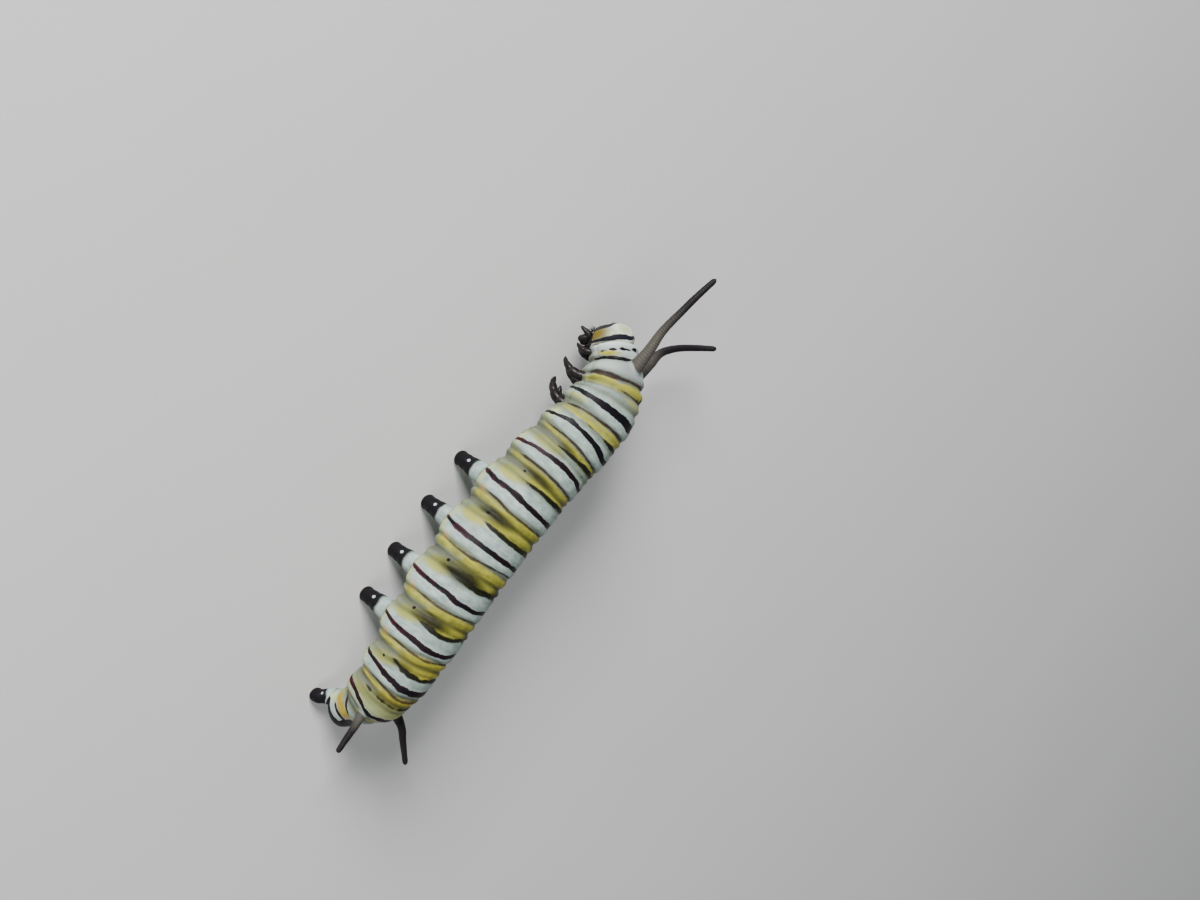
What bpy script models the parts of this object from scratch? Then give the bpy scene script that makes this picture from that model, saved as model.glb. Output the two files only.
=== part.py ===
"""Monarch larva, last instar, at life size, as a still display model.

The real animal is one soft body. Here it is parted where a person names its parts: the head and
its mouthparts, three thoracic segments, eight abdominal segments, the anal segment, and every
leg, proleg, tentacle and antenna. The head points to +X, the left side to +Y, and the soles of
the prolegs rest on the plane Z = 0. Lengths below are in millimetres, and MM turns them to metres.
"""

from collections import namedtuple
from math import cos, exp, pi, radians, sin, sqrt

import bmesh
import bpy
from mathutils import Matrix, Vector

for old in list(bpy.data.objects):
    bpy.data.objects.remove(old, do_unlink=True)

MM = 0.001

# Between two parts that touch on the animal.
GAP = 0.3

# Height of the body's axis over the floor in the middle of the abdomen.
AXIS_HEIGHT = 4.95

# The two sides of the animal, as the sign of Y and the word in a part's name.
SIDES = ((1, "left"), (-1, "right"))

# Faces round the body, and the rings of one segment as shares of its length.
BODY_SIDES = 28
RINGS = (0.0, 0.06, 0.13, 0.19, 0.26, 0.40, 0.55, 0.70, 0.79, 0.86, 0.94, 1.0)

# turn: heading to the animal's left; drop: nose down; lean: back over to the right; in degrees.
Segment = namedtuple("Segment", "name length width height turn drop lean")
BODY = (
    Segment("thorax_1", 1.45, 4.1, 3.95, 20, 33, 38),
    Segment("thorax_2", 2.15, 5.4, 5.2, 11, 22, 37),
    Segment("thorax_3", 2.75, 6.0, 6.0, 0, 4, 29),
    Segment("abdomen_1", 2.8, 6.3, 6.2, -7, -4, 18),
    Segment("abdomen_2", 3.0, 6.4, 6.3, -7, -2, 9),
    Segment("abdomen_3", 3.7, 6.5, 6.4, -3, 0, 3),
    Segment("abdomen_4", 4.15, 6.5, 6.4, 0, 0, 0),
    Segment("abdomen_5", 4.0, 6.4, 6.3, 4, 0, 0),
    Segment("abdomen_6", 3.5, 6.1, 6.0, 7, 0, 0),
    Segment("abdomen_7", 2.8, 5.4, 5.4, 11, -6, 1),
    Segment("abdomen_8", 2.3, 4.7, 4.8, 13, -30, 4),
    Segment("anal_segment", 3.1, 3.4, 2.9, 14, -48, 4),
)
NAMES = tuple(segment.name for segment in BODY)
STARTS = tuple(sum(segment.length for segment in BODY[:i]) for i in range(len(BODY)))
LENGTH = sum(segment.length for segment in BODY)
AXIS_STEP = 0.05

# The belly is flatter than the back.
BELLY_SHARE = 0.88

# Folds of the skin: the groove between segments, the creases across each segment, as a share of its
# length and a depth, and the soft swelling along each flank, all over the plain round section.
GROOVE_BACK = 0.16
GROOVE_FLANK = 0.34
GROOVE_WIDTH = 0.28
CREASE_WIDTH = 0.16
CREASES = {
    "thorax_1": (),
    "thorax_2": ((0.70, 0.20),),
    "thorax_3": ((0.86, 0.14), (0.19, 0.10)),
    "abdomen": ((0.79, 0.14), (0.19, 0.10)),
    "anal_segment": (),
}
FLANK_SWELL = 0.45
FLANK_ANGLE = 104
FLANK_SPREAD = 21

# The hind end rounds off over this length towards a tip this far above the axis, and its last ring
# lies a little short of the tip.
TAIL_ROUND = 1.1
TAIL_POWER = 2.4
TAIL_LIFT = 1.2
TAIL_TIP = 0.02
CUTTER_RINGS = 150

# The head capsule: its size, its three angles in degrees, where its middle lies ahead of and below
# the neck, how much it narrows towards the mouth, and the furrow down its middle.
HEAD_HEIGHT = 3.7
HEAD_WIDTH = 3.5
HEAD_DEPTH = 2.5
HEAD_TURN = 25
HEAD_DROP = 40
HEAD_LEAN = 37
HEAD_FORWARD = 0.50
HEAD_LOW = 0.05
HEAD_NARROW = 0.20
HEAD_THIN = 0.10
FURROW_DEPTH = 0.10
FURROW_WIDTH = 0.10

# How finely a limb is rounded, and the steps along a tentacle and along a true leg.
LIMB_RESOLUTION = 2
LIMB_STEPS = 14
LEG_STEPS = 8


def eased(field, s):
    """A segment value at the length s along the body, eased from one segment's middle to the next."""
    values = [getattr(segment, field) for segment in BODY]
    middles = [start + segment.length / 2 for start, segment in zip(STARTS, BODY)]
    last = len(BODY) - 1
    if s <= middles[0]:
        return values[0]
    if s >= middles[last]:
        return values[last]
    i = max(k for k in range(last) if middles[k] <= s)
    t = (s - middles[i]) / (middles[i + 1] - middles[i])
    before, here = values[max(i - 1, 0)], values[i]
    there, after = values[i + 1], values[min(i + 2, last)]
    bend = 2 * here - 2 * there + (there - before) / 2 + (after - here) / 2
    swing = 3 * (there - here) - (there - before) - (after - here) / 2
    return here + t * (there - before) / 2 + t * t * swing + t * t * t * bend


def heading(turn, drop, lean):
    """Forward, left and up of a cross-section, from its three angles in degrees."""
    turned = Matrix.Rotation(radians(turn), 3, "Z")
    dropped = Matrix.Rotation(radians(drop), 3, "Y")
    leaned = Matrix.Rotation(radians(lean), 3, "X")
    return turned @ dropped @ leaned


def axis_points():
    """Points of the axis, one for each AXIS_STEP; abdomen_4 has its middle at X = Y = 0."""
    count = round(LENGTH / AXIS_STEP) + 1
    points = [Vector((0, 0, 0))]
    for k in range(1, count):
        s = (k - 0.5) * AXIS_STEP
        ahead = heading(eased("turn", s), eased("drop", s), 0) @ Vector((1, 0, 0))
        points.append(points[-1] - ahead * AXIS_STEP)
    middle = STARTS[NAMES.index("abdomen_4")] + BODY[NAMES.index("abdomen_4")].length / 2
    shift = Vector((0, 0, AXIS_HEIGHT)) - points[round(middle / AXIS_STEP)]
    return [point + shift for point in points]


AXIS = axis_points()


def section(s):
    """Centre and axes (columns: forward, left, up) of the body's cross-section at the length s."""
    turned = heading(eased("turn", s), eased("drop", s), eased("lean", s))
    place = min(max(s, 0), LENGTH) / AXIS_STEP
    i = min(int(place), len(AXIS) - 2)
    centre = AXIS[i].lerp(AXIS[i + 1], place - i)
    beyond = s - min(max(s, 0), LENGTH)
    return centre - turned @ Vector((beyond, 0, 0)), turned


def relief(s, angle):
    """Height of the skin's folds over the plain section; angle is in degrees from the back."""
    height = 0.0
    groove = GROOVE_BACK + (GROOVE_FLANK - GROOVE_BACK) * (1 - cos(radians(angle))) / 2
    for start, segment in zip(STARTS, BODY):
        if start > 0:
            height -= groove * exp(-(((s - start) / GROOVE_WIDTH) ** 2))
        kind = "abdomen" if segment.name.startswith("abdomen") else segment.name
        for share, depth in CREASES[kind]:
            crease = start + share * segment.length
            height -= depth * exp(-(((s - crease) / CREASE_WIDTH) ** 2))
        t = (s - start) / segment.length
        if 0 < t < 1 and segment.name not in ("thorax_1", "anal_segment"):
            across = exp(-(((abs(angle) - FLANK_ANGLE) / FLANK_SPREAD) ** 2))
            height += FLANK_SWELL * sin(pi * t) ** 1.5 * across
    return height


def tail_share(s, grow):
    """The rounding of the body's hind end, from 1 ahead of it to 0 at its tip."""
    t = (s - (LENGTH - TAIL_ROUND)) / (TAIL_ROUND + grow)
    return sqrt(max(1 - max(t, 0) ** TAIL_POWER, 0.0))


def skin_point(s, angle, grow=0.0):
    """The skin at the length s, angle degrees from the back towards the left, grow outside it."""
    centre, turned = section(s)
    side = eased("width", s) / 2 * sin(radians(angle))
    rise = eased("height", s) / 2 * cos(radians(angle))
    if rise < 0:
        rise *= BELLY_SHARE
    round_off = tail_share(s, grow)
    flat = Vector((0, side, rise))
    reach = flat.length
    flat *= (reach + relief(s, angle) + grow) / reach * round_off
    flat.z += TAIL_LIFT * (1 - round_off)
    return centre + turned @ flat


def material(name, color, roughness):
    made = bpy.data.materials.new(name)
    made.use_nodes = True
    shader = made.node_tree.nodes["Principled BSDF"]
    shader.inputs["Base Color"].default_value = (*color, 1)
    shader.inputs["Roughness"].default_value = roughness
    shader.inputs["Metallic"].default_value = 0
    return made


SKIN = material("larva_skin", (0.62, 0.62, 0.42), 0.55)
CAPSULE = material("head_capsule", (0.66, 0.58, 0.38), 0.35)
DARK_SKIN = material("dark_skin", (0.05, 0.045, 0.05), 0.5)
HORN = material("dark_horn", (0.02, 0.016, 0.018), 0.3)


def collection(name):
    made = bpy.data.collections.new(name)
    bpy.context.scene.collection.children.link(made)
    return made


LARVA = collection("monarch_larva")
CUTTERS = collection("cutters")


def add_object(name, bm, finish, group=None):
    """A mesh object in metres from a bmesh in millimetres."""
    bmesh.ops.scale(bm, vec=(MM, MM, MM), verts=bm.verts)
    bmesh.ops.recalc_face_normals(bm, faces=bm.faces)
    mesh = bpy.data.meshes.new(name)
    bm.to_mesh(mesh)
    bm.free()
    mesh.shade_smooth()
    mesh.set_sharp_from_angle(angle=radians(50))
    mesh.materials.append(finish)
    made = bpy.data.objects.new(name, mesh)
    (group or LARVA).objects.link(made)
    return made


def loft(rings):
    """A closed bmesh through rings of points, with a flat cap at each end."""
    bm = bmesh.new()
    loops = []
    for ring in rings:
        verts = [bm.verts.new(point) for point in ring]
        loops.append([bm.edges.new((a, b)) for a, b in zip(verts, verts[1:] + verts[:1])])
    for here, there in zip(loops, loops[1:]):
        bmesh.ops.bridge_loops(bm, edges=here + there)
    for end in (loops[0], loops[-1]):
        bmesh.ops.contextual_create(bm, geom=end)
    return bm


def body_ring(s, grow=0.0):
    return [skin_point(s, 360 * k / BODY_SIDES, grow) for k in range(BODY_SIDES)]


def add_segments():
    """One solid for each segment, half a gap short of its ends."""
    for start, segment in zip(STARTS, BODY):
        first = start + (GAP / 2 if start > 0 else 0)
        last = start + segment.length - (GAP / 2 if segment is not BODY[-1] else TAIL_TIP)
        rings = [body_ring(first + share * (last - first)) for share in RINGS]
        add_object(segment.name, loft(rings), SKIN)


def add_body_cutter():
    """The whole body grown by one gap, which trims every root to stand clear of the skin."""
    reach = LENGTH + 2 * GAP - TAIL_TIP
    rings = [body_ring(-GAP + reach * k / CUTTER_RINGS, GAP) for k in range(CUTTER_RINGS + 1)]
    return add_object("body_cutter", loft(rings), SKIN, CUTTERS)


def cut(piece, cutter):
    trim = piece.modifiers.new("clear_of_" + cutter.name, "BOOLEAN")
    trim.operation = "DIFFERENCE"
    trim.solver = "EXACT"
    trim.object = cutter


def tube(name, route, widths, finish):
    """A round limb along a route, as wide at each point as widths says, with closed ends."""
    curve = bpy.data.curves.new(name, "CURVE")
    curve.dimensions = "3D"
    curve.bevel_depth = MM / 2
    curve.bevel_resolution = LIMB_RESOLUTION
    curve.use_fill_caps = True
    line = curve.splines.new("POLY")
    line.points.add(len(route) - 1)
    for point, place, width in zip(line.points, route, widths):
        point.co = (*(place * MM), 1)
        point.radius = width
    guide = bpy.data.objects.new(name + "_guide", curve)
    CUTTERS.objects.link(guide)
    evaluated = guide.evaluated_get(bpy.context.evaluated_depsgraph_get())
    mesh = bpy.data.meshes.new_from_object(evaluated)
    bpy.data.objects.remove(guide, do_unlink=True)
    bm = bmesh.new()
    bm.from_mesh(mesh)
    bpy.data.meshes.remove(mesh)
    bmesh.ops.remove_doubles(bm, verts=bm.verts, dist=0.002 * MM)
    bmesh.ops.scale(bm, vec=(1 / MM, 1 / MM, 1 / MM), verts=bm.verts)
    return add_object(name, bm, finish)


def smooth_route(points, steps):
    """steps + 1 points on a smooth curve through the given points."""
    route = []
    last = len(points) - 1
    for k in range(steps + 1):
        place = last * k / steps
        i = min(int(place), last - 1)
        t = place - i
        here, there = points[i], points[i + 1]
        before = points[i - 1] if i > 0 else here * 2 - there
        after = points[i + 2] if i + 2 <= last else there * 2 - here
        bend = here * 2 - there * 2 + (there - before) / 2 + (after - here) / 2
        swing = (there - here) * 3 - (there - before) - (after - here) / 2
        route.append(here + (there - before) * (t / 2) + swing * (t * t) + bend * (t * t * t))
    return route


def smooth_widths(widths, steps):
    last = len(widths) - 1
    found = []
    for k in range(steps + 1):
        place = last * k / steps
        i = min(int(place), last - 1)
        found.append(widths[i] + (widths[i + 1] - widths[i]) * (place - i))
    return found


def place_on(name, share):
    """The length along the body at a share of the named segment, from its front."""
    i = NAMES.index(name)
    return STARTS[i] + share * BODY[i].length


# Tentacles, a front pair on the second thoracic segment and a rear pair on the eighth abdominal
# one: the root's place along its segment and its angle from the back, then the route from the root
# as (forward, left, up) in that segment's own axes, and the widths from root to tip.
FRONT_SHARE = 0.30
FRONT_ANGLES = (32, -32)
FRONT_ROUTES = (
    ((-0.3, -0.2, -0.7), (1.5, 0.6, 0.5), (3.05, 1.15, 1.35),
     (4.6, 1.8, 2.6), (5.7, 2.2, 3.5), (7.1, 2.5, 4.7)),
    ((-0.2, 0.4, -0.7), (1.6, -0.75, 0.5), (3.0, -2.0, 1.2),
     (3.95, -3.4, 2.3), (4.6, -4.75, 3.75), (5.0, -5.6, 5.4)),
)
FRONT_WIDTHS = (1.35, 0.95, 0.72, 0.60, 0.55, 0.45)
REAR_SHARE = 0.75
REAR_ANGLES = (40, -50)
REAR_ROUTES = (
    ((0.3, -0.2, -0.7), (-0.55, 0.35, 0.45), (-1.45, 0.65, 1.15), (-2.6, 0.9, 1.9)),
    ((0.3, 0.3, -0.7), (-0.4, -1.15, 0.6), (-1.45, -2.1, 1.5), (-2.75, -3.25, 2.6)),
)
REAR_WIDTHS = (1.10, 0.64, 0.52, 0.42)


def add_tentacle(name, s, angle, steps, widths, cutter):
    """A soft horn from just under the skin, along a smooth route."""
    root = skin_point(s, angle)
    turned = section(s)[1]
    points = [root + turned @ Vector(step) for step in steps]
    route = smooth_route(points, LIMB_STEPS)
    cut(tube(name, route, smooth_widths(widths, LIMB_STEPS), DARK_SKIN), cutter)


# Prolegs: the root's angle from the back and its depth under the skin, how far the foot stands out
# and back from there, the height of the ankle, and the widths from root to sole.
PROLEG_ANGLE = 142
PROLEG_DEPTH = 0.9
PROLEG_OUT = 0.25
PROLEG_WIDTHS = (1.75, 1.66, 1.42, 1.20, 1.28, 1.12)
ANAL_SHARE = 0.60
ANAL_DEPTH = 0.5
ANAL_OUT = 0.35
ANAL_BACK = 1.1
ANAL_WIDTHS = (1.25, 1.22, 1.15, 1.05, 1.15, 1.0)
ANKLE = 0.55


def add_proleg(name, s, side, depth, out, back, widths, cutter):
    """A stout leg from inside the belly to a foot whose flat sole lies on the floor."""
    root = skin_point(s, side * PROLEG_ANGLE, -depth)
    place = skin_point(s, side * PROLEG_ANGLE) + section(s)[1] @ Vector((0, side * out, 0))
    ankle = Vector((place.x - back, place.y, ANKLE))
    route = [root, root.lerp(ankle, 0.4), root.lerp(ankle, 0.75), ankle]
    route += [Vector((ankle.x, ankle.y, ankle.z * share)) for share in (0.4, 0)]
    cut(tube(name, route, widths, DARK_SKIN), cutter)


# True legs: the root's angle and depth, the route from there as (forward, outward, up), and the
# widths at its points. Each pair has its thoracic segment, its size and its share of that segment.
LEG_ANGLE = 150
LEG_DEPTH = 0.5
LEG_ROUTE = ((0, 0, 0), (0, 0.15, -0.8), (0.25, 0.20, -1.4), (0.70, 0.10, -1.9), (1.15, -0.05, -2.1))
LEG_WIDTHS = (0.85, 0.78, 0.60, 0.46, 0.20)
LEG_PAIRS = ((1, 0.70, 0.40), (2, 0.95, 0.78), (3, 1.08, 0.98))


def add_true_leg(name, s, side, size, cutter):
    """A short horny leg that tapers to its claw, held forward under the thorax."""
    turned = section(s)[1]
    root = skin_point(s, side * LEG_ANGLE, -LEG_DEPTH)
    points = [root + turned @ Vector((x, side * y, z)) * size for x, y, z in LEG_ROUTE]
    widths = smooth_widths([width * size for width in LEG_WIDTHS], LEG_STEPS)
    cut(tube(name, smooth_route(points, LEG_STEPS), widths, HORN), cutter)


def head_axes():
    return heading(HEAD_TURN, HEAD_DROP, HEAD_LEAN)


def head_centre():
    neck = section(0)[0]
    return neck + head_axes() @ Vector((HEAD_FORWARD, 0, -HEAD_LOW))


def head_point(direction, grow=0.0):
    """The capsule's surface along a direction in the head's own axes: forward, left, up."""
    x, y, z = direction
    narrow = 1 - HEAD_NARROW * max(-z, 0) ** 2
    furrow = FURROW_DEPTH * exp(-((y / FURROW_WIDTH) ** 2)) * max(x + 0.7 * z, 0)
    depth = HEAD_DEPTH / 2 * (1 - HEAD_THIN * max(-z, 0))
    flat = Vector((x * depth, y * HEAD_WIDTH / 2 * narrow, z * HEAD_HEIGHT / 2))
    reach = flat.length
    return head_centre() + head_axes() @ (flat * ((reach - furrow + grow) / reach))


def head_mesh(grow=0.0):
    bm = bmesh.new()
    bmesh.ops.create_uvsphere(bm, u_segments=26, v_segments=15, radius=1)
    for vert in bm.verts:
        vert.co = head_point(vert.co.normalized(), grow)
    return bm


# The simple eyes of one cheek, as azimuth from the face's middle and elevation, in degrees.
STEMMA_WIDTH = 0.30
STEMMATA = ((55, -28), (66, -20), (78, -17), (88, -24), (84, -38), (62, -44))


def join(base, pieces):
    """The base and the pieces in one closed surface; the pieces are used up."""
    group = collection(base.name + "_pieces")
    for piece in pieces:
        CUTTERS.objects.unlink(piece)
        group.objects.link(piece)
    union = base.modifiers.new("union", "BOOLEAN")
    union.operation = "UNION"
    union.operand_type = "COLLECTION"
    union.collection = group
    union.solver = "EXACT"
    evaluated = base.evaluated_get(bpy.context.evaluated_depsgraph_get())
    mesh = bpy.data.meshes.new_from_object(evaluated)
    base.modifiers.remove(union)
    base.data = mesh
    for piece in pieces:
        bpy.data.objects.remove(piece, do_unlink=True)
    bpy.data.collections.remove(group)


def head_direction(azimuth, elevation, side=1):
    """A direction in the head's own axes, azimuth degrees from its front towards one side."""
    turn = radians(azimuth)
    level = cos(radians(elevation))
    return Vector((cos(turn) * level, side * sin(turn) * level, sin(radians(elevation))))


def add_head(cutter):
    """The capsule with six simple eyes on each cheek."""
    head = add_object("head", head_mesh(), CAPSULE)
    beads = []
    for side, _ in SIDES:
        for azimuth, elevation in STEMMATA:
            bm = bmesh.new()
            bmesh.ops.create_icosphere(bm, subdivisions=1, radius=STEMMA_WIDTH / 2)
            at = head_point(head_direction(azimuth, elevation, side))
            bmesh.ops.translate(bm, vec=at, verts=bm.verts)
            beads.append(add_object("bead", bm, HORN, CUTTERS))
    join(head, beads)
    cut(head, cutter)


# Antennae: azimuth and elevation of the root, its depth, how the feeler swings forward and out of
# that direction, and its widths at shares of its reach.
ANTENNA_PLACE = (46, -58)
ANTENNA_DEPTH = 0.35
ANTENNA_SWING = (0.9, 0.15)
ANTENNA_REACHES = (0, 0.30, 0.48, 0.62, 0.74)
ANTENNA_WIDTHS = (0.52, 0.50, 0.40, 0.34, 0.22)

# Mouthparts, each as (forward, outward, up) from the foot of the face: where its top lies, the steps
# of its route from there, and its widths.
FACE_FOOT = (0.12, 0, -1)
MANDIBLE_TOP = (0.30, 0.42, 0.35)
MANDIBLE_STEPS = ((0, 0, 0), (0.02, 0, -0.55), (0.04, -0.04, -0.85))
MANDIBLE_WIDTHS = (0.54, 0.54, 0.34)
LABIUM_TOP = (-0.50, 0, 0.45)
LABIUM_STEPS = ((0, 0, 0), (0, 0, -0.60), (0.05, 0, -0.95))
LABIUM_WIDTHS = (0.80, 0.78, 0.42)


def add_antennae(cutter):
    """A short feeler at the foot of each cheek."""
    forward, outward = ANTENNA_SWING
    for side, name in SIDES:
        aim = head_direction(*ANTENNA_PLACE, side)
        root = head_point(aim, -ANTENNA_DEPTH)
        out = head_axes() @ (aim + Vector((forward, side * outward, 0)))
        route = [root + out * reach for reach in ANTENNA_REACHES]
        cut(tube(f"antenna_{name}", route, ANTENNA_WIDTHS, HORN), cutter)


def add_mouthpart(name, side, top, steps, widths, cutter):
    """A piece of the mouth, from inside the foot of the face downwards."""
    foot = head_point(Vector(FACE_FOOT).normalized())
    places = [Vector(top) + Vector(step) for step in steps]
    route = [foot + head_axes() @ Vector((place.x, side * place.y, place.z)) for place in places]
    cut(tube(name, route, widths, HORN), cutter)


def add_mouthparts(cutter):
    """Two mandibles side by side, with the lower lip behind them."""
    for side, name in SIDES:
        mandible = (MANDIBLE_TOP, MANDIBLE_STEPS, MANDIBLE_WIDTHS)
        add_mouthpart(f"mandible_{name}", side, *mandible, cutter)
    add_mouthpart("labium", 1, LABIUM_TOP, LABIUM_STEPS, LABIUM_WIDTHS, cutter)


def add_limbs(cutter):
    for side, name in SIDES:
        for number, size, share in LEG_PAIRS:
            s = place_on(f"thorax_{number}", share)
            add_true_leg(f"leg_{number}_{name}", s, side, size, cutter)
        for number in (3, 4, 5, 6):
            s = place_on(f"abdomen_{number}", 0.5)
            at = (s, side, PROLEG_DEPTH, PROLEG_OUT, 0)
            add_proleg(f"proleg_{number}_{name}", *at, PROLEG_WIDTHS, cutter)
        at = (place_on("anal_segment", ANAL_SHARE), side, ANAL_DEPTH, ANAL_OUT, ANAL_BACK)
        add_proleg(f"anal_proleg_{name}", *at, ANAL_WIDTHS, cutter)
    front, rear = place_on("thorax_2", FRONT_SHARE), place_on("abdomen_8", REAR_SHARE)
    for (_, name), angle, route in zip(SIDES, FRONT_ANGLES, FRONT_ROUTES):
        add_tentacle(f"front_tentacle_{name}", front, angle, route, FRONT_WIDTHS, cutter)
    for (_, name), angle, route in zip(SIDES, REAR_ANGLES, REAR_ROUTES):
        add_tentacle(f"rear_tentacle_{name}", rear, angle, route, REAR_WIDTHS, cutter)


def centre_on_origin():
    """Hangs every piece on one empty that brings the middle of the model's box over the origin."""
    graph = bpy.context.evaluated_depsgraph_get()
    corners = [
        Vector(corner) for piece in LARVA.objects for corner in piece.evaluated_get(graph).bound_box
    ]
    root = bpy.data.objects.new("larva_root", None)
    for i in (0, 1):
        places = [corner[i] for corner in corners]
        root.location[i] = -(min(places) + max(places)) / 2
    for piece in list(LARVA.objects) + list(CUTTERS.objects):
        piece.parent = root
    LARVA.objects.link(root)


add_segments()
body_cutter = add_body_cutter()
add_head(body_cutter)
head_cutter = add_object("head_cutter", head_mesh(GAP), CAPSULE, CUTTERS)
add_antennae(head_cutter)
add_mouthparts(head_cutter)
add_limbs(body_cutter)
for cutter in CUTTERS.objects:
    cutter.hide_render = True
    cutter.display_type = "WIRE"
centre_on_origin()
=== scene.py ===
from collections import namedtuple
from math import atan2, cos, degrees, pi, radians, sin

import bmesh
import bpy
import numpy as np
from mathutils import Euler, Matrix, Vector
from mathutils.bvhtree import BVHTree
from mathutils.interpolate import poly_3d_calc


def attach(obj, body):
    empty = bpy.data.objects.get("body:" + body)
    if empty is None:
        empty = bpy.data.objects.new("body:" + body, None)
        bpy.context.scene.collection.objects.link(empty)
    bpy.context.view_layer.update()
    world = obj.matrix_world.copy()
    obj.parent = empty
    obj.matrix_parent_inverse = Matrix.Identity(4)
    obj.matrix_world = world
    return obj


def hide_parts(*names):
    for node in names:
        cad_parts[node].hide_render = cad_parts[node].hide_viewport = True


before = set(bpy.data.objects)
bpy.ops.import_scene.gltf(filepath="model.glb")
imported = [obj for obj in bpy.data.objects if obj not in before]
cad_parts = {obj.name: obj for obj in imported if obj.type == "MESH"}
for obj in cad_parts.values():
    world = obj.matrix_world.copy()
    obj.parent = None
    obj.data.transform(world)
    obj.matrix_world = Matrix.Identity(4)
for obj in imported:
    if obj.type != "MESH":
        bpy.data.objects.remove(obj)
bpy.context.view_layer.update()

# The body.
# One thin, soft skin over the whole larva, from the neck to the shield over the hind end, folded
# across every segment. The segments' sizes, in millimetres, and headings are those of the solids.
MM = 0.001
AXIS_HEIGHT = 4.95
# The solids were moved by this much, to bring the middle of their box over the origin.
SHIFT = np.array((-3.507126, 2.892893, 0.0))

# turn: heading to the animal's left; drop: nose down; lean: back over to the right; in degrees.
Segment = namedtuple("Segment", "name length width height turn drop lean")
BODY = (
    Segment("thorax_1", 1.45, 4.1, 3.95, 20, 33, 38),
    Segment("thorax_2", 2.15, 5.4, 5.2, 11, 22, 37),
    Segment("thorax_3", 2.75, 6.0, 6.0, 0, 4, 29),
    Segment("abdomen_1", 2.8, 6.3, 6.2, -7, -4, 18),
    Segment("abdomen_2", 3.0, 6.4, 6.3, -7, -2, 9),
    Segment("abdomen_3", 3.7, 6.5, 6.4, -3, 0, 3),
    Segment("abdomen_4", 4.15, 6.5, 6.4, 0, 0, 0),
    Segment("abdomen_5", 4.0, 6.4, 6.3, 4, 0, 0),
    Segment("abdomen_6", 3.5, 6.1, 6.0, 7, 0, 0),
    Segment("abdomen_7", 2.8, 5.4, 5.4, 11, -6, 1),
    Segment("abdomen_8", 2.3, 4.7, 4.8, 13, -30, 4),
    Segment("anal_segment", 3.1, 3.4, 2.9, 14, -48, 4),
)
NAMES = [segment.name for segment in BODY]
STARTS = np.array([sum(segment.length for segment in BODY[:i]) for i in range(len(BODY))])
LENGTHS = np.array([segment.length for segment in BODY])
LENGTH = LENGTHS.sum()


def place_on(name, share):
    """The length along the body of a place on one segment, by its share of that segment."""
    i = NAMES.index(name)
    return STARTS[i] + share * LENGTHS[i]


def between_points(before, here, there, after, t):
    """A place at t, from 0 to 1, on the smooth curve from here to there."""
    bend = 2 * here - 2 * there + (there - before) / 2 + (after - here) / 2
    swing = 3 * (there - here) - (there - before) - (after - here) / 2
    return here + t * (there - before) / 2 + t * t * swing + t * t * t * bend


def eased(field, s):
    """A segment value at the length s along the body, eased between the segments' middles."""
    values = [getattr(segment, field) for segment in BODY]
    middles = STARTS + LENGTHS / 2
    last = len(BODY) - 1
    if s <= middles[0]:
        return values[0]
    if s >= middles[last]:
        return values[last]
    i = int(np.searchsorted(middles, s, side="right")) - 1
    t = (s - middles[i]) / (middles[i + 1] - middles[i])
    before, after = values[max(i - 1, 0)], values[min(i + 2, last)]
    return between_points(before, values[i], values[i + 1], after, t)


def heading(turn, drop, lean):
    """Forward, left and up, as columns, from three angles in degrees."""
    turned = Matrix.Rotation(radians(turn), 3, "Z") @ Matrix.Rotation(radians(drop), 3, "Y")
    return np.array(turned @ Matrix.Rotation(radians(lean), 3, "X"))


# The line through the middle of the body, traced back from the neck in short steps.
AXIS_STEP = 0.05
AXIS = [np.zeros(3)]
for k in range(1, round(LENGTH / AXIS_STEP) + 1):
    s = (k - 0.5) * AXIS_STEP
    AXIS.append(AXIS[-1] - heading(eased("turn", s), eased("drop", s), 0)[:, 0] * AXIS_STEP)
middle = round(place_on("abdomen_4", 0.5) / AXIS_STEP)
AXIS = np.array(AXIS) - AXIS[middle] + (0, 0, AXIS_HEIGHT) + SHIFT


def section(s):
    """Centre and axes (columns: forward, left, up) of the body's cross-section at the length s."""
    turned = heading(eased("turn", s), eased("drop", s), eased("lean", s))
    inside = min(max(s, 0), LENGTH)
    place = inside / AXIS_STEP
    i = min(int(place), len(AXIS) - 2)
    centre = AXIS[i] + (AXIS[i + 1] - AXIS[i]) * (place - i)
    return centre - turned[:, 0] * (s - inside), turned


def bump(x, width):
    """A soft hump: 1 where x is 0, and near 0 from twice the width outwards."""
    return np.exp(-((x / width) ** 2))


# The groove at each joint is twice as deep under the belly as on the back, and wider there.
JOINT_DEPTH = 0.20
JOINT_WIDTH = 0.20
JOINT_WIDER = 0.14
# Each joint wanders a little: how far in millimetres, waves round the body, shift for each segment.
WANDER = ((0.04, 3, 1.7), (0.02, 7, 2.3))
# A fine groove runs along each side of the belly.
GROOVE_ANGLE = 124
GROOVE_DEPTH = 0.08
GROOVE_REACH = 4
# Creases across each segment: share of its length, depth and width in millimetres.
ABDOMEN_CREASES = (
    (0.79, 0.22, 0.15), (0.91, 0.05, 0.10), (0.19, 0.16, 0.15), (0.34, 0.04, 0.16),
    (0.52, 0.05, 0.2),
)
SEGMENT_CREASES = (
    ((0.50, 0.12, 0.14),),
    ((0.68, 0.32, 0.18), (0.36, 0.05, 0.2)),
    ((0.84, 0.24, 0.16), (0.23, 0.22, 0.16), (0.48, 0.05, 0.2)),
    *(ABDOMEN_CREASES,) * 8,
    (),
)


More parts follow.
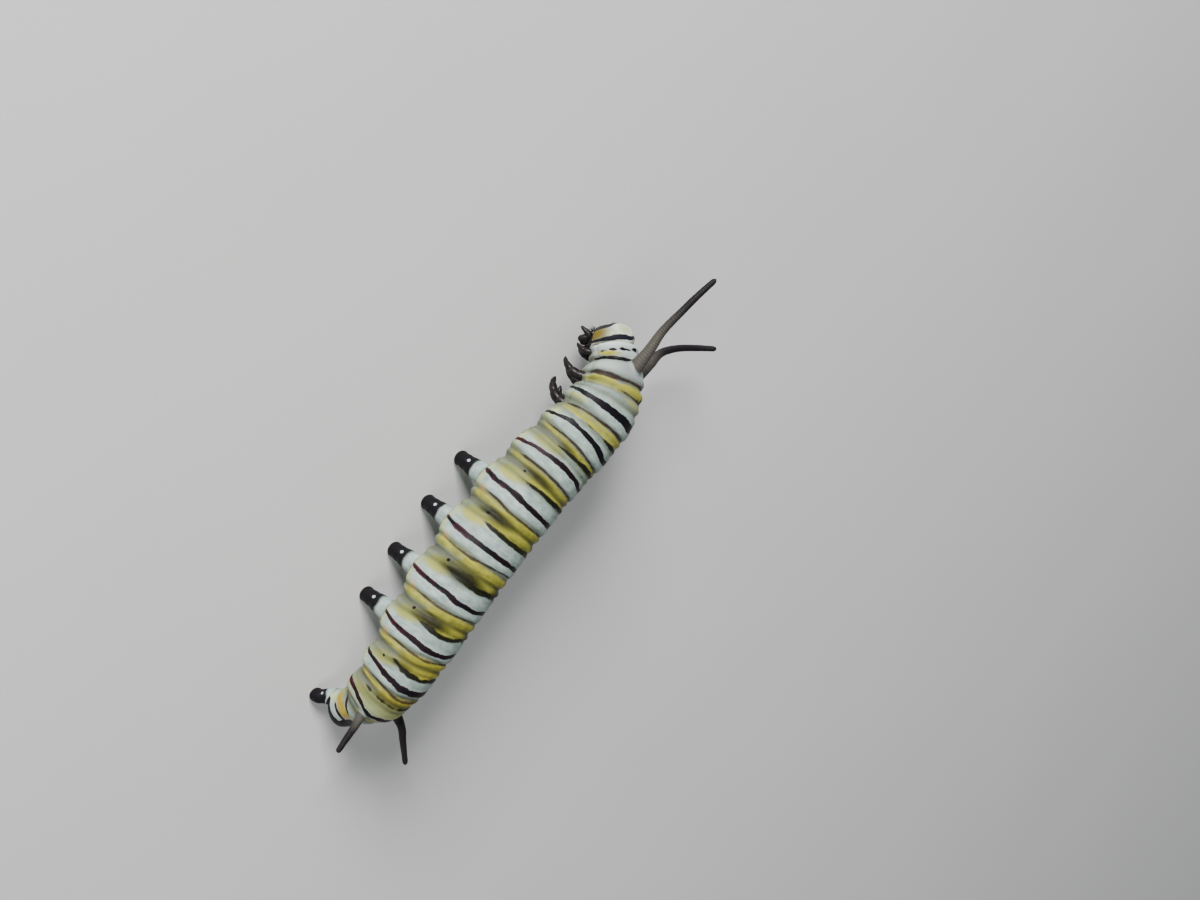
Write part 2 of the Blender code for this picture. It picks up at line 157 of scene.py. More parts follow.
def folds_at(s, angle, spread=1.0):
    """Depth of the skin's creases, below 0, at lengths s and angles in degrees from the back."""
    turn = np.radians(angle)
    side = (1 - np.cos(turn)) / 2
    height = np.zeros(np.broadcast(s, angle).shape)
    for i, segment in enumerate(BODY):
        away = s - STARTS[i]
        for size, waves, step in WANDER:
            away = away + size * np.sin(waves * turn + step * i)
        if i > 0:
            width = (JOINT_WIDTH + JOINT_WIDER * side) * spread
            height -= (JOINT_DEPTH + JOINT_DEPTH * side) * bump(away, width)
        for share, depth, width in SEGMENT_CREASES[i]:
            height -= depth * bump(away - share * segment.length, width * spread)
    return height - GROOVE_DEPTH * bump(np.abs(angle) - GROOVE_ANGLE, GROOVE_REACH)


# The bulge along each flank, and a small cushion at the front of each segment of the abdomen:
# height in millimetres, angle from the back and reach round the body. The cushion's middle and
# reach along its segment are shares of it.
FLANK_BULGE = (0.45, 104, 21)
FLANK_CUSHION = (0.12, 78, 20)
CUSHION_MIDDLE = 0.17
CUSHION_REACH = 0.12


def swell_at(s, angle):
    """Height of the bulge along each flank, highest in the middle of each segment."""
    bulge, bulge_angle, bulge_reach = FLANK_BULGE
    cushion, cushion_angle, cushion_reach = FLANK_CUSHION
    height = np.zeros(np.broadcast(s, angle).shape)
    for start, segment in zip(STARTS[1:-1], BODY[1:-1]):
        t = np.clip((s - start) / segment.length, 0, 1)
        height += bulge * np.sin(pi * t) ** 1.5 * bump(np.abs(angle) - bulge_angle, bulge_reach)
        if segment.name.startswith("abdomen"):
            across = bump(np.abs(angle) - cushion_angle, cushion_reach)
            height += cushion * bump(t - CUSHION_MIDDLE, CUSHION_REACH) * across
    return height


# The belly is a little flatter than the back. The skin draws in to a collar behind the head, and
# closes over the hind end in a blunt, lifted cap.
BELLY_SHARE = 0.88
COLLAR_LENGTH = 0.30
COLLAR_PINCH = 0.35
CAP_LENGTH = 1.1
CAP_BLUNTNESS = 2.4
CAP_LIFT = 1.2


def ring(s, angle):
    """Points of the skin at one length s, for an array of angles from the back towards the left."""
    centre, turned = section(s)
    turn = np.radians(angle)
    side = eased("width", s) / 2 * np.sin(turn)
    rise = eased("height", s) / 2 * np.cos(turn)
    rise = np.where(rise < 0, rise * BELLY_SHARE, rise)
    reach = np.hypot(side, rise)
    collar = 1 - COLLAR_PINCH * max(1 - s / COLLAR_LENGTH, 0) ** 2
    over = max((s - (LENGTH - CAP_LENGTH)) / CAP_LENGTH, 0)
    closing = max(1 - over**CAP_BLUNTNESS, 0) ** 0.5
    grown = (reach + folds_at(s, angle) + swell_at(s, angle)) / reach * closing * collar
    flat = np.stack((np.zeros_like(side), side * grown, rise * grown + CAP_LIFT * (1 - closing)))
    return centre + (turned @ flat).T


# Points nearer than this are joined where a sheet is rolled up.
SEAM_GAP = 0.002


def sleeve(along, around, place):
    """A closed tube: a sheet of along by around faces rolled up, its rings put where place says."""
    bm = bmesh.new()
    bmesh.ops.create_grid(bm, x_segments=along, y_segments=around, size=1)
    flat = np.array([vert.co[:2] for vert in bm.verts])
    points = np.zeros((len(flat), 3))
    for u in np.unique(flat[:, 0]):
        rows = np.nonzero(flat[:, 0] == u)[0]
        points[rows] = place((u + 1) / 2, flat[rows, 1])
    layer_u = bm.verts.layers.float.new("u")
    layer_v = bm.verts.layers.float.new("v")
    for vert, point, (u, v) in zip(bm.verts, points, flat):
        vert.co = point
        vert[layer_u] = (u + 1) / 2
        vert[layer_v] = v
    bmesh.ops.remove_doubles(bm, verts=bm.verts, dist=SEAM_GAP)
    bmesh.ops.holes_fill(bm, edges=bm.edges, sides=around)
    bmesh.ops.recalc_face_normals(bm, faces=bm.faces)
    bm.verts.ensure_lookup_table()
    bm.faces.ensure_lookup_table()
    return bm


def body_place(u, v):
    """Points of the body's own sheet; its last ring stays just open, and sleeve closes it."""
    return ring(u * (LENGTH - 2 * SEAM_GAP), v * 180)


def smooth_route(points, steps):
    """steps + 1 points on a smooth curve through the given points."""
    points = [np.array(point, float) for point in points]
    last = len(points) - 1
    route = []
    for k in range(steps + 1):
        place = last * k / steps
        i = min(int(place), last - 1)
        t = place - i
        here, there = points[i], points[i + 1]
        before = points[i - 1] if i > 0 else 2 * here - there
        after = points[i + 2] if i + 2 <= last else 2 * there - here
        route.append(between_points(before, here, there, after, t))
    return np.array(route)


# A direction that no route starts along, and the least share of a tip's width, squared.
ANY_SIDE = (0.3, 1.0, 0.2)
SHARP_TIP = 0.002


def limb_place(route, widths, round_tip=0.0, relief=None):
    """Where a limb's rings go: across its route, as wide as widths says, with a rounded tip."""
    route = np.array(route, float)
    steps = np.linspace(0, 1, len(route))
    wide = np.linspace(0, 1, len(widths))
    ahead = np.gradient(route, axis=0)
    ahead /= np.linalg.norm(ahead, axis=1)[:, None]
    # The frame is carried from each point to the next, so that the tube doesn't twist.
    aside = [np.cross(ahead[0], ANY_SIDE)]
    for direction in ahead[1:]:
        aside.append(aside[-1] - direction * aside[-1].dot(direction))
    aside = np.array([side / np.linalg.norm(side) for side in aside])

    def place(u, v):
        spot, front, side = (
            np.array([np.interp(u, steps, column) for column in rows.T])
            for rows in (route, ahead, aside)
        )
        side -= front * side.dot(front)
        side /= np.linalg.norm(side)
        front /= np.linalg.norm(front)
        up = np.cross(front, side)
        radius = np.interp(u, wide, widths) / 2
        if round_tip and u > 1 - round_tip:
            radius *= max(1 - ((u - 1 + round_tip) / round_tip) ** 2, SHARP_TIP) ** 0.5
        turn = np.asarray(v) * pi
        radius = radius + (relief(u, v) if relief else 0) * np.ones_like(turn)
        return spot + radius[:, None] * (np.outer(np.cos(turn), side) + np.outer(np.sin(turn), up))

    return place


def skin_point(s, angle, grow=0.0):
    """The skin at one length and angle, or a point further out by grow, in millimetres."""
    centre = section(s)[0]
    point = ring(s, np.array([float(angle)]))[0]
    out = point - centre
    return point + out / np.linalg.norm(out) * grow


SIDES = ((1, "left"), (-1, "right"))

# The soft horns and the prolegs grow out of the same skin: a long pair of horns on the second
# thoracic segment, a short pair on the eighth abdominal one, four pairs of prolegs under the middle
# of the abdomen and one pair at its end. A horn's route is forward, left and up of its root.
FRONT_ANGLES = (32, -32)
FRONT_ROUTES = (
    ((-0.3, -0.2, -0.7), (1.5, 0.6, 0.5), (3.05, 1.15, 1.35), (4.6, 1.8, 2.6), (5.7, 2.2, 3.5),
     (7.1, 2.5, 4.7)),
    ((-0.2, 0.4, -0.7), (1.6, -0.75, 0.5), (3.0, -2.0, 1.2), (3.95, -3.4, 2.3), (4.6, -4.75, 3.75),
     (5.0, -5.6, 5.4)),
)
FRONT_WIDTHS = (1.28, 0.86, 0.67, 0.58, 0.54, 0.45)
REAR_ANGLES = (40, -50)
REAR_ROUTES = (
    ((0.3, -0.2, -0.7), (-0.55, 0.35, 0.45), (-1.45, 0.65, 1.15), (-2.6, 0.9, 1.9)),
    ((0.3, 0.3, -0.7), (-0.4, -1.15, 0.6), (-1.45, -2.1, 1.5), (-2.75, -3.25, 2.6)),
)
REAR_WIDTHS = (1.10, 0.64, 0.52, 0.42)
PROLEG_WIDTHS = (1.75, 1.66, 1.42, 1.20, 1.28, 1.12)
ANAL_WIDTHS = (1.25, 1.22, 1.15, 1.05, 1.15, 1.0)
# Faces of a sheet: along it and round it.
BODY_FACES = (430, 110)
HORN_FACES = (150, 36)
FOOT_FACES = (60, 40)
HORN_TIP = 0.035
RING_DEPTH = 0.012
RING_STEPS = 230
PROLEG_ANGLE = 142
PROLEG_SEGMENTS = (3, 4, 5, 6)
ANKLE_HEIGHT = 0.55
# Folds of a proleg over its ankle: share of its length and depth.
FOOT_FOLDS = ((0.45, 0.05), (0.68, 0.04))


def horn_rings(u, v):
    """Shallow rings round a horn, like the folds of a bellows."""
    return RING_DEPTH * np.sin(u * RING_STEPS) * (u > 0.12)


def foot_folds(u, v):
    return -sum(depth * bump(u - share, 0.03) for share, depth in FOOT_FOLDS)


# Each limb keeps how soon it turns black along its length; a proleg keeps its side instead.
limbs = []
for name, share, angles, routes, widths, blackness in (
    ("thorax_2", 0.30, FRONT_ANGLES, FRONT_ROUTES, FRONT_WIDTHS, (1.0, 1.5)),
    ("abdomen_8", 0.75, REAR_ANGLES, REAR_ROUTES, REAR_WIDTHS, (1.15, 2.6)),
):
    s = place_on(name, share)
    turned = section(s)[1]
    for angle, route, dark in zip(angles, routes, blackness):
        points = [skin_point(s, angle) + turned @ np.array(step) for step in route]
        place = limb_place(smooth_route(points, 40), widths, HORN_TIP, horn_rings)
        limbs.append(("horn", dark, sleeve(*HORN_FACES, place)))
# A proleg: where it starts, how deep its root lies, how far out and back its foot stands, widths.
FEET = [(place_on(f"abdomen_{n}", 0.5), 0.9, 0.25, 0, PROLEG_WIDTHS) for n in PROLEG_SEGMENTS]
FEET.append((place_on("anal_segment", 0.60), 0.5, 0.35, 1.1, ANAL_WIDTHS))
for side, _ in SIDES:
    for s, depth, out, back, widths in FEET:
        turned = section(s)[1]
        root = skin_point(s, side * PROLEG_ANGLE, -depth)
        spot = skin_point(s, side * PROLEG_ANGLE) + turned @ np.array((0, side * out, 0))
        ankle = np.array((spot[0] - back, spot[1], ANKLE_HEIGHT))
        route = [root, root + (ankle - root) * 0.4, root + (ankle - root) * 0.75, ankle]
        route += [np.array((ankle[0], ankle[1], ankle[2] * share)) for share in (0.4, 0)]
        limbs.append(("foot", side, sleeve(*FOOT_FACES, limb_place(route, widths, 0, foot_folds))))

body_sheet = sleeve(*BODY_FACES, body_place)


def add_to(bm, other):
    """Puts a copy of one bmesh into another."""
    holder = bpy.data.meshes.new("part")
    other.to_mesh(holder)
    bm.from_mesh(holder)
    bpy.data.meshes.remove(holder)


def mesh_of(name, bm):
    """A mesh made from a bmesh, which is used up."""
    made = bpy.data.meshes.new(name)
    bm.to_mesh(made)
    bm.free()
    return made


def placed(name, data):
    """A new object in the scene."""
    made = bpy.data.objects.new(name, data)
    bpy.context.scene.collection.objects.link(made)
    return made


# The sheet and the limbs become one closed skin, rounded where they meet.
SKIN_VOXEL = 0.114
whole = bmesh.new()
for piece in [body_sheet] + [bm for _, _, bm in limbs]:
    add_to(whole, piece)
skin = placed("larva_skin", mesh_of("larva_skin", whole))
remesh = skin.modifiers.new("one skin", "REMESH")
remesh.mode = "VOXEL"
remesh.voxel_size = SKIN_VOXEL
remesh.use_smooth_shade = True
soften = skin.modifiers.new("soften", "SMOOTH")
soften.factor = 0.5
soften.iterations = 2
mesh = bpy.data.meshes.new_from_object(skin.evaluated_get(bpy.context.evaluated_depsgraph_get()))
skin.modifiers.clear()
skin.data = mesh
mesh.name = "larva_skin"

# Making it one skin can leave a bubble of a few faces inside; only the outer skin is kept.
bm = bmesh.new()
bm.from_mesh(mesh)
unseen = set(bm.verts)
shells = []
while unseen:
    shell = [unseen.pop()]
    for vert in shell:
        for edge in vert.link_edges:
            other = edge.other_vert(vert)
            if other in unseen:
                unseen.remove(other)
                shell.append(other)
    shells.append(shell)
shells.sort(key=len)
for shell in shells[:-1]:
    bmesh.ops.delete(bm, geom=shell, context="VERTS")
bm.to_mesh(mesh)
bm.free()

points = np.empty(len(mesh.vertices) * 3)
mesh.vertices.foreach_get("co", points)
points = points.reshape(-1, 3)
# The soles are flat on the floor.
points[:, 2] = np.maximum(points[:, 2], 0)


def places_on(bm, spots):
    """For each spot, its nearest place on a sleeve: how far along, how far round, how far off."""
    tree = BVHTree.FromBMesh(bm)
    layer_u = bm.verts.layers.float["u"]
    layer_v = bm.verts.layers.float["v"]
    found = np.empty((len(spots), 3))
    for k, spot in enumerate(spots):
        near, _, index, gap = tree.find_nearest(spot)
        corners = bm.faces[index].verts
        shares = poly_3d_calc([vert.co for vert in corners], near)
        us = [vert[layer_u] for vert in corners]
        vs = [vert[layer_v] for vert in corners]
        if max(vs) - min(vs) > 1:
            vs = [v + 2 if v < 0 else v for v in vs]
        found[k] = np.dot(shares, us), np.dot(shares, vs), gap
    return found


on_body = places_on(body_sheet, points)
along = on_body[:, 0] * LENGTH
around = on_body[:, 1] * 180
around = np.where(around > 180, around - 360, around)
off_body = on_body[:, 2]

# How far out along a horn or a proleg each point of the skin lies, and how far it faces outwards.
FAR_OFF = 9.0
LIMB_MARGIN = 0.4
horn = np.zeros(len(points))
foot = np.zeros(len(points))
shield = np.zeros(len(points))
near_limb = np.full(len(points), FAR_OFF)
for kind, value, bm in limbs:
    box = np.array([vert.co[:] for vert in bm.verts])
    low, high = box.min(0) - LIMB_MARGIN, box.max(0) + LIMB_MARGIN
    close = np.nonzero(((points > low) & (points < high)).all(1))[0]
    on_limb = places_on(bm, points[close])
    nearer = on_limb[:, 2] < near_limb[close]
    close, on_limb = close[nearer], on_limb[nearer]
    near_limb[close] = on_limb[:, 2]
    horn[close] = on_limb[:, 0] * value if kind == "horn" else 0
    foot[close] = on_limb[:, 0] if kind == "foot" else 0
    shield[close] = np.cos((on_limb[:, 1] + value * 0.5) * pi)
    bm.free()
# A limb's own colour starts where the skin leaves the body.
LEAVES_BODY = 0.06
FADES_OVER = 0.20
ON_A_LIMB = 0.3
belongs = np.clip((off_body - LEAVES_BODY) / FADES_OVER, 0, 1) * (near_limb < ON_A_LIMB)

# Markings.
# Bands of black, white and yellow colour in the skin itself, thin at the flanks, laid over each
# other like coats of paint. Their places follow the segments, and their edges waver a little.

# A bar: its segment; angles from the back; how far behind the segment's joint it lies at each, in
# hundredths of the segment's length; and half its thickness there, in hundredths of a millimetre.
# It ends where that is below 0.
MAIN_BARS = (
    ("thorax_1",
     (54, 68, 84, 104, 140, 165),
     (-2, 0, 3, 5, 8, 10),
     (-10, 8, 13, 16, 14, -10)),
    ("thorax_1",
     (-140, -70, -30, -14, 10, 24, 36, 48, 60, 74, 86, 98, 112, 134, 150),
     (92, 100, 98, 95, 95, 95, 97, 100, 102, 103, 101, 100, 98, 95, 92),
     (4, 9, 5, -10, -10, 5, 10, 7, 10, 8, 11, 10, 10, 9, -10)),
    ("thorax_3",
     (-162, -142, -106, -60, 14, 30, 52, 70, 88, 106, 142, 162),
     (42, 42, 49, 50, 53, 49, 49, 49, 49, 49, 42, 42),
     (-10, 8, 14, 17, 22, 23, 21, 21, 20, 17, 12, -10)),
    ("abdomen_1",
     (-150, -104, -60, 2, 26, 42, 58, 72, 82, 90, 104, 148, 160),
     (53, 50, 38, 46, 39, 35, 35, 35, 35, 42, 53, 55, 55),
     (-10, 10, 13, 18, 18, 16, 13, 13, 20, 13, 13, 8, -10)),
    ("abdomen_2",
     (-145, -92, -54, -14, 6, 26, 42, 54, 66, 80, 92, 106, 126, 146),
     (60, 50, 38, 42, 35, 35, 35, 38, 42, 45, 52, 55, 62, 62),
     (-10, 10, 13, 15, 16, 17, 18, 15, 14, 12, 11, 11, 8, -10)),
    ("abdomen_3",
     (-124, -100, -60, -32, -4, 18, 36, 52, 66, 84, 100, 114, 126),
     (40, 44, 49, 52, 52, 52, 50, 48, 47, 48, 44, 40, 38),
     (-10, 9, 14, 16, 16, 17, 17, 18, 17, 16, 15, 9, -10)),
    ("abdomen_4",
     (-124, -102, -60, -32, -10, 14, 32, 50, 68, 86, 102, 114, 126),
     (46, 50, 55, 55, 55, 55, 55, 55, 55, 53, 50, 47, 46),
     (-10, 9, 14, 16, 15, 16, 19, 16, 17, 15, 12, 6, -10)),
    ("abdomen_5",
     (-124, -102, -60, -30, -6, 12, 30, 48, 66, 84, 102, 114, 126),
     (46, 47, 53, 52, 57, 57, 57, 52, 52, 50, 47, 45, 44),
     (-10, 9, 14, 15, 14, 15, 17, 15, 13, 14, 11, 5, -10)),
    ("abdomen_6",
     (-124, -100, -60, -32, -8, 14, 32, 46, 64, 82, 100, 112, 124),
     (44, 45, 50, 53, 62, 64, 62, 59, 56, 53, 45, 42, 40),
     (-10, 9, 12, 14, 14, 15, 16, 15, 14, 13, 11, 5, -10)),
    ("abdomen_7",
     (-124, -102, -60, -20, 8, 28, 46, 64, 84, 102, 114, 126),
     (30, 33, 52, 62, 62, 62, 55, 51, 41, 33, 28, 26),
     (-10, 9, 13, 16, 17, 17, 15, 15, 12, 11, 4, -10)),
    ("abdomen_8",
     (-128, -106, -60, -22, 16, 32, 52, 60, 74, 86, 106, 118, 130),
     (38, 40, 53, 55, 55, 62, 57, 53, 48, 40, 38, 36, 35),
     (-10, 9, 13, 15, 15, 13, 12, 12, 13, 14, 12, 4, -10)),
    ("anal_segment",
     (-110, -90, -54, -38, 38, 54, 92, 112),
     (2, 6, 19, 23, 23, 19, 6, 2),
     (-10, 4, 4, -5, -5, 4.5, 4.5, -10)),
    ("anal_segment",
     (-104, -85, -35, 35, 85, 104),
     (50, 50, 48, 48, 50, 50),
     (-10, 9, 10, 10, 9, -10)),
)
# A second, duller bar at the front of each segment of the abdomen, on the back only.
SECOND_BARS = (
    ("abdomen_1",
     (-60, -36, 4, 16, 34, 66, 80),
     (10, 10, 11, 11, 12, 12, 12),
     (-10, 8, 10, 5, 0, -4, -10)),
    ("abdomen_2",
     (-66, -40, -4, 14, 30, 50, 62, 76),
     (0, -3, -5, -5, -1, 2, 5, 5),
     (-10, 10, 12, 12, 10, 7, -2, -20)),
    ("abdomen_3",
     (-66, -44, -14, 12, 32, 46, 60, 76),
     (15, 12, 12, 14, 14, 16, 17, 17),
     (-10, 9, 13, 12, 10, 7, -2, -20)),
    ("abdomen_4",
     (-66, -48, -20, 6, 28, 46, 58, 76),
     (22, 22, 22, 23, 23, 22, 20, 20),
     (-10, 10, 14, 13, 12, 9, 0, -20)),
    ("abdomen_5",
     (-66, -46, -22, 10, 28, 46, 58, 74),
     (20, 18, 18, 22, 20, 19, 18, 20),
     (-10, 12, 14, 16, 19, 14, 2, -20)),
    ("abdomen_6",
     (-66, -46, -22, 0, 18, 34, 50, 60, 76),
     (18, 16, 17, 25, 28, 25, 22, 20, 20),
     (-10, 10, 12, 12, 14, 15, 9, -3, -20)),
    ("abdomen_7",
     (-66, -46, -26, 6, 26, 42, 54, 66, 80),
     (20, 21, 23, 29, 26, 22, 13, 12, 10),
     (-10, 8, 10, 10, 11, 10, 6, -5, -20)),
    ("abdomen_8",
     (-80, -60, -30, 10, 34, 54, 72, 84),
     (5, 5, 6, 8, 5, 5, 5, 5),
     (-10, 0, 0, 0, 0, 0, -2, -10)),
)
# The dark crease behind each white band, and the brown one across the second thoracic segment.
CREASES = (
    ("thorax_2",
     (-100, -40, 26, 50, 64, 76, 90, 104, 120, 140),
     (68, 63, 63, 64, 66, 67, 68, 67, 65, 64),
     (5, 3, 3, 5, 8, 12, 15, 15, 9, -5)),
    ("thorax_3",
     (-70, -30, -8, 6, 30, 56, 70),
     (2, 2, 1, 0, 0, -2, -2),
     (-5, 5, 11, 7, 4, 2, -5)),
    ("thorax_3",
     (-90, -60, 38, 60, 86, 110, 130),
     (90, 84, 82, 85, 89, 97, 100),
     (-5, 5, 7, 7, 6, 4, -10)),
    ("abdomen_1",
     (-90, 10, 50, 86, 110),
     (80, 76, 72, 78, 80),
     (-5, 5, 6, 5, -10)),
    ("abdomen_2",
     (-90, 10, 50, 80, 100),
     (80, 74, 74, 78, 80),
     (-5, 5, 6, 5, -10)),
    ("abdomen_3",
     (-90, -34, 6, 46, 66, 96),
     (80, 79, 81, 81, 75, 73),
     (-5, 4, 5, 7, 6, -5)),
    ("abdomen_4",
     (-90, -12, 20, 44, 68, 96),
     (76, 72, 76, 81, 81, 78),
     (-5, 4, 5, 7, 6, -5)),
    ("abdomen_5",
     (-90, -12, 20, 44, 68, 96),
     (78, 76, 80, 81, 79, 76),
     (-5, 4, 5, 7, 6, -5)),
    ("abdomen_6",
     (-90, -12, 20, 44, 68, 96),
     (80, 80, 84, 82, 78, 76),
     (-5, 4, 5, 6, 5, -5)),
    ("abdomen_7",
     (-90, -12, 20, 44, 68, 96),
     (82, 84, 86, 80, 74, 70),
     (-5, 4, 5, 5, 4, -5)),
)
# Yellow folds of the thorax, each a soft bar of its own.
YELLOW_FOLDS = (
    ("thorax_1",
     (60, 72, 90, 110, 128, 145),
     (75, 76, 75, 68, 62, 60),
     (-10, 8, 15, 13, 10, -10)),
    ("thorax_2",
     (48, 60, 74, 90, 116, 132, 150),
     (102, 97, 92, 89, 90, 92, 94),
     (-10, 18, 31, 35, 33, 16, -10)),
    ("thorax_2",
     (-120, -96, -40, 8, 34, 56, 68, 78),
     (88, 84, 79, 82, 84, 86, 90, 94),
     (-10, 20, 30, 33, 32, 24, 10, -10)),
    ("thorax_3",
     (-120, -90, -40, 4, 36, 66, 98, 120, 136),
     (102, 100, 95, 96, 98, 102, 106, 107, 107),
     (-10, 18, 30, 33, 34, 32, 26, 14, -10)),
)
# Dashes across the first thoracic segment: share of it, angle, half length in degrees, half width.
DASHES = (
    (0.58, 108, 12, 0.10), (0.55, 84, 12, 0.13), (0.51, 57, 19, 0.12), (0.40, 25, 11, 0.14),
    (0.45, -8, 8, 0.10), (0.53, -52, 12, 0.09), (0.57, -84, 8, 0.10),
)
# Small round spots: length along the body, angle, radius. The paired ones are on both sides, and
# so are the breathing holes, added to them, one on each segment of the abdomen.
SPOTS = [(3.47, 6, 0.14), (3.47, -30, 0.10), (12.25, 66, 0.09), (28.0, 76, 0.08)]
PAIRED_SPOTS = [(16.05, 64, 0.12), (20.21, 68, 0.11), (24.18, 72, 0.11)]
PAIRED_SPOTS += [(place_on(f"abdomen_{n}", 0.36), 113, 0.12) for n in range(1, 9)]
for side, _ in SIDES:
    SPOTS += [(s, side * angle, reach) for s, angle, reach in PAIRED_SPOTS]
# Soft dark patches beside the second bars, partly dark olive skin and partly painted shade:
# length, angle, reach along, reach round, strength.
DARK_PATCHES_AND_SHADE = (
    (12.00, 46, 0.22, 20, 0.8), (15.95, 52, 0.26, 20, 1.0), (20.55, 40, 0.34, 22, 1.2),
    (20.60, 24, 0.24, 20, 0.7), (24.35, 42, 0.28, 20, 1.0), (27.90, 44, 0.18, 16, 0.6),
    (8.95, 54, 0.20, 14, 0.5), (15.95, -52, 0.26, 20, 0.85), (20.50, -40, 0.34, 20, 1.0),
    (24.35, -42, 0.28, 18, 0.8), (12.00, -46, 0.24, 18, 0.8),
)
PATCH_AND_SHADE_LONGER = 1.6
PATCH_AND_SHADE_WIDER = 1.5
# Where some segments of the thorax (T) and the abdomen (A) stand in BODY.
T1, T3, A1, A2, A3, A7, A8, TAIL = 0, 2, 3, 4, 5, 9, 10, 11
# Soft patches of colour: field, strength, first and last segment; then from, to and softness, as
# shares of a segment and in degrees from the back.
ALL_ALONG = (-1, 2, 0.1)
ALL_ROUND = (-90, 270, 8)
BACK = (-90, 57, 14)
PATCHES = (
    ("yellow", 1.0, A1, TAIL, (0.80, 1.05, 0.04), BACK),
    ("yellow", 0.9, A1, A7, (0.77, 0.93, 0.06), (50, 104, 14)),
    ("yellow", 1.0, TAIL, TAIL, (0.18, 0.44, 0.06), (44, 124, 10)),
    ("cushion", 0.85, A8, A8, (-1, 0.375, 0.45), (-90, 70, 20)),
    ("orange", 1.0, T1, T1, (0.62, 0.86, 0.1), (82, 96, 8)),
    ("orange", 0.5, A3, TAIL, (0.68, 0.82, 0.08), (86, 98, 8)),
    ("orange", 0.5, TAIL, TAIL, (0.22, 0.40, 0.08), ALL_ROUND),
    ("cream", 1.0, A1, TAIL, ALL_ALONG, (100, 130, 10)),
    ("cream", 0.75, A8, A8, (0.12, 0.62, 0.20), ALL_ROUND),
    ("belly", 1.0, T1, TAIL, ALL_ALONG, (136, 270, 20)),
)

# For every point of the skin: millimetres for one degree round the body, the segment it is on,
# counted from the first of the thorax, its share of that segment and its angle without side.
lengths = np.linspace(0, LENGTH, 400)
widths = np.array([eased("width", s) for s in lengths])
per_degree = np.interp(along, lengths, widths) / 2 * pi / 180
part_of = np.clip(np.searchsorted(STARTS, along, side="right") - 1, 0, len(BODY) - 1)
share = (along - STARTS[part_of]) / LENGTHS[part_of]
flank = np.abs(around)
fields = {}
# A bar is looked for up to BAR_REACH off its middle line; a half width of NO_BAR keeps none. A
# point belongs to neither of two bars that are nearly as far off, within TIE, and not close.
BAR_REACH = 0.45
NO_BAR = -3.0
TIE = 0.22
OFF_A_BAR = 0.16


def keep_bars(label, table):
    """Keeps how far each point of the skin lies off its nearest bar, and that bar's half width."""
    offset = np.full(len(along), BAR_REACH)
    half = np.full(len(along), NO_BAR)
    gap = offset - half
    next_gap = gap.copy()
    for name, angles, shares, halves in table:
        i = NAMES.index(name)
        lies = np.interp(around, angles, np.array(shares) / 100)
        away = along - STARTS[i] - LENGTHS[i] * lies
        thick = np.interp(around, angles, np.array(halves) / 100, left=NO_BAR, right=NO_BAR)
        this_gap = np.where(np.abs(away) < BAR_REACH, np.abs(away) - thick, FAR_OFF)
        nearer = this_gap < gap
        next_gap = np.where(nearer, gap, np.minimum(next_gap, this_gap))
        gap[nearer] = this_gap[nearer]
        offset[nearer] = away[nearer]
        half[nearer] = thick[nearer]
    # Midway between two bars the offset would change sign, which would draw a line there.
    half[(next_gap - gap < TIE) & (gap > OFF_A_BAR)] = NO_BAR
    fields[label + "_offset"] = offset
    fields[label + "_half"] = half


def spot(s, angle, reach_along, reach_round):
    """Depth inside an oval whose reaches are in millimetres."""
    x = (along - s) / reach_along
    y = (around - angle) * per_degree / reach_round
    return (1 - np.hypot(x, y)) * min(reach_along, reach_round)


def between(x, low, high, soft):
    """1 from low to high, 0 outside, and fading over soft at both ends."""
    return np.clip((x - low) / soft + 0.5, 0, 1) * np.clip((high - x) / soft + 0.5, 0, 1)


keep_bars("main", MAIN_BARS)
keep_bars("second", SECOND_BARS)
keep_bars("crease", CREASES)
keep_bars("fold", YELLOW_FOLDS)

# How deep each point lies inside a dash, a spot or the shield, in millimetres.
DEEPEST = 0.6
NECK_RADIUS = 2.0
black = np.full(len(along), -DEEPEST)
for at, angle, reach, half in DASHES:
    black = np.maximum(black, spot(at * LENGTHS[0], angle, half, reach * pi / 180 * NECK_RADIUS))
for s, angle, reach in SPOTS:
    black = np.maximum(black, spot(s, angle, reach, reach * 1.2))
# The shield over the hind end: black along its edge and down the middle of the back.
RIM_WIDTH = 0.95
RIM_HUMP = 0.3
PLATE_SHARE = 0.27
PLATE_ANGLE = 36
rim = along - (LENGTH - RIM_WIDTH) + RIM_HUMP * bump(around, 40)
plate_start = place_on("anal_segment", PLATE_SHARE)
plate = np.minimum(along - plate_start, (PLATE_ANGLE - flank) * per_degree)
black = np.maximum(black, np.maximum(plate, rim))
# A black fleck between the front horns.
black = np.maximum(black, spot(place_on("thorax_2", 0.42), 4, 0.24, 0.14))
fields["black"] = np.clip(black, -DEEPEST, DEEPEST)

dark_patch_and_shade = np.zeros(len(along))
for s, angle, reach_along, reach_round, strength in DARK_PATCHES_AND_SHADE:
    x = (along - s) / (PATCH_AND_SHADE_LONGER * reach_along)
    y = (around - angle) / (PATCH_AND_SHADE_WIDER * reach_round)
    dark_patch_and_shade = np.maximum(dark_patch_and_shade, strength * np.exp(-(x * x + y * y)))
fields["dark_patch_and_shade"] = dark_patch_and_shade

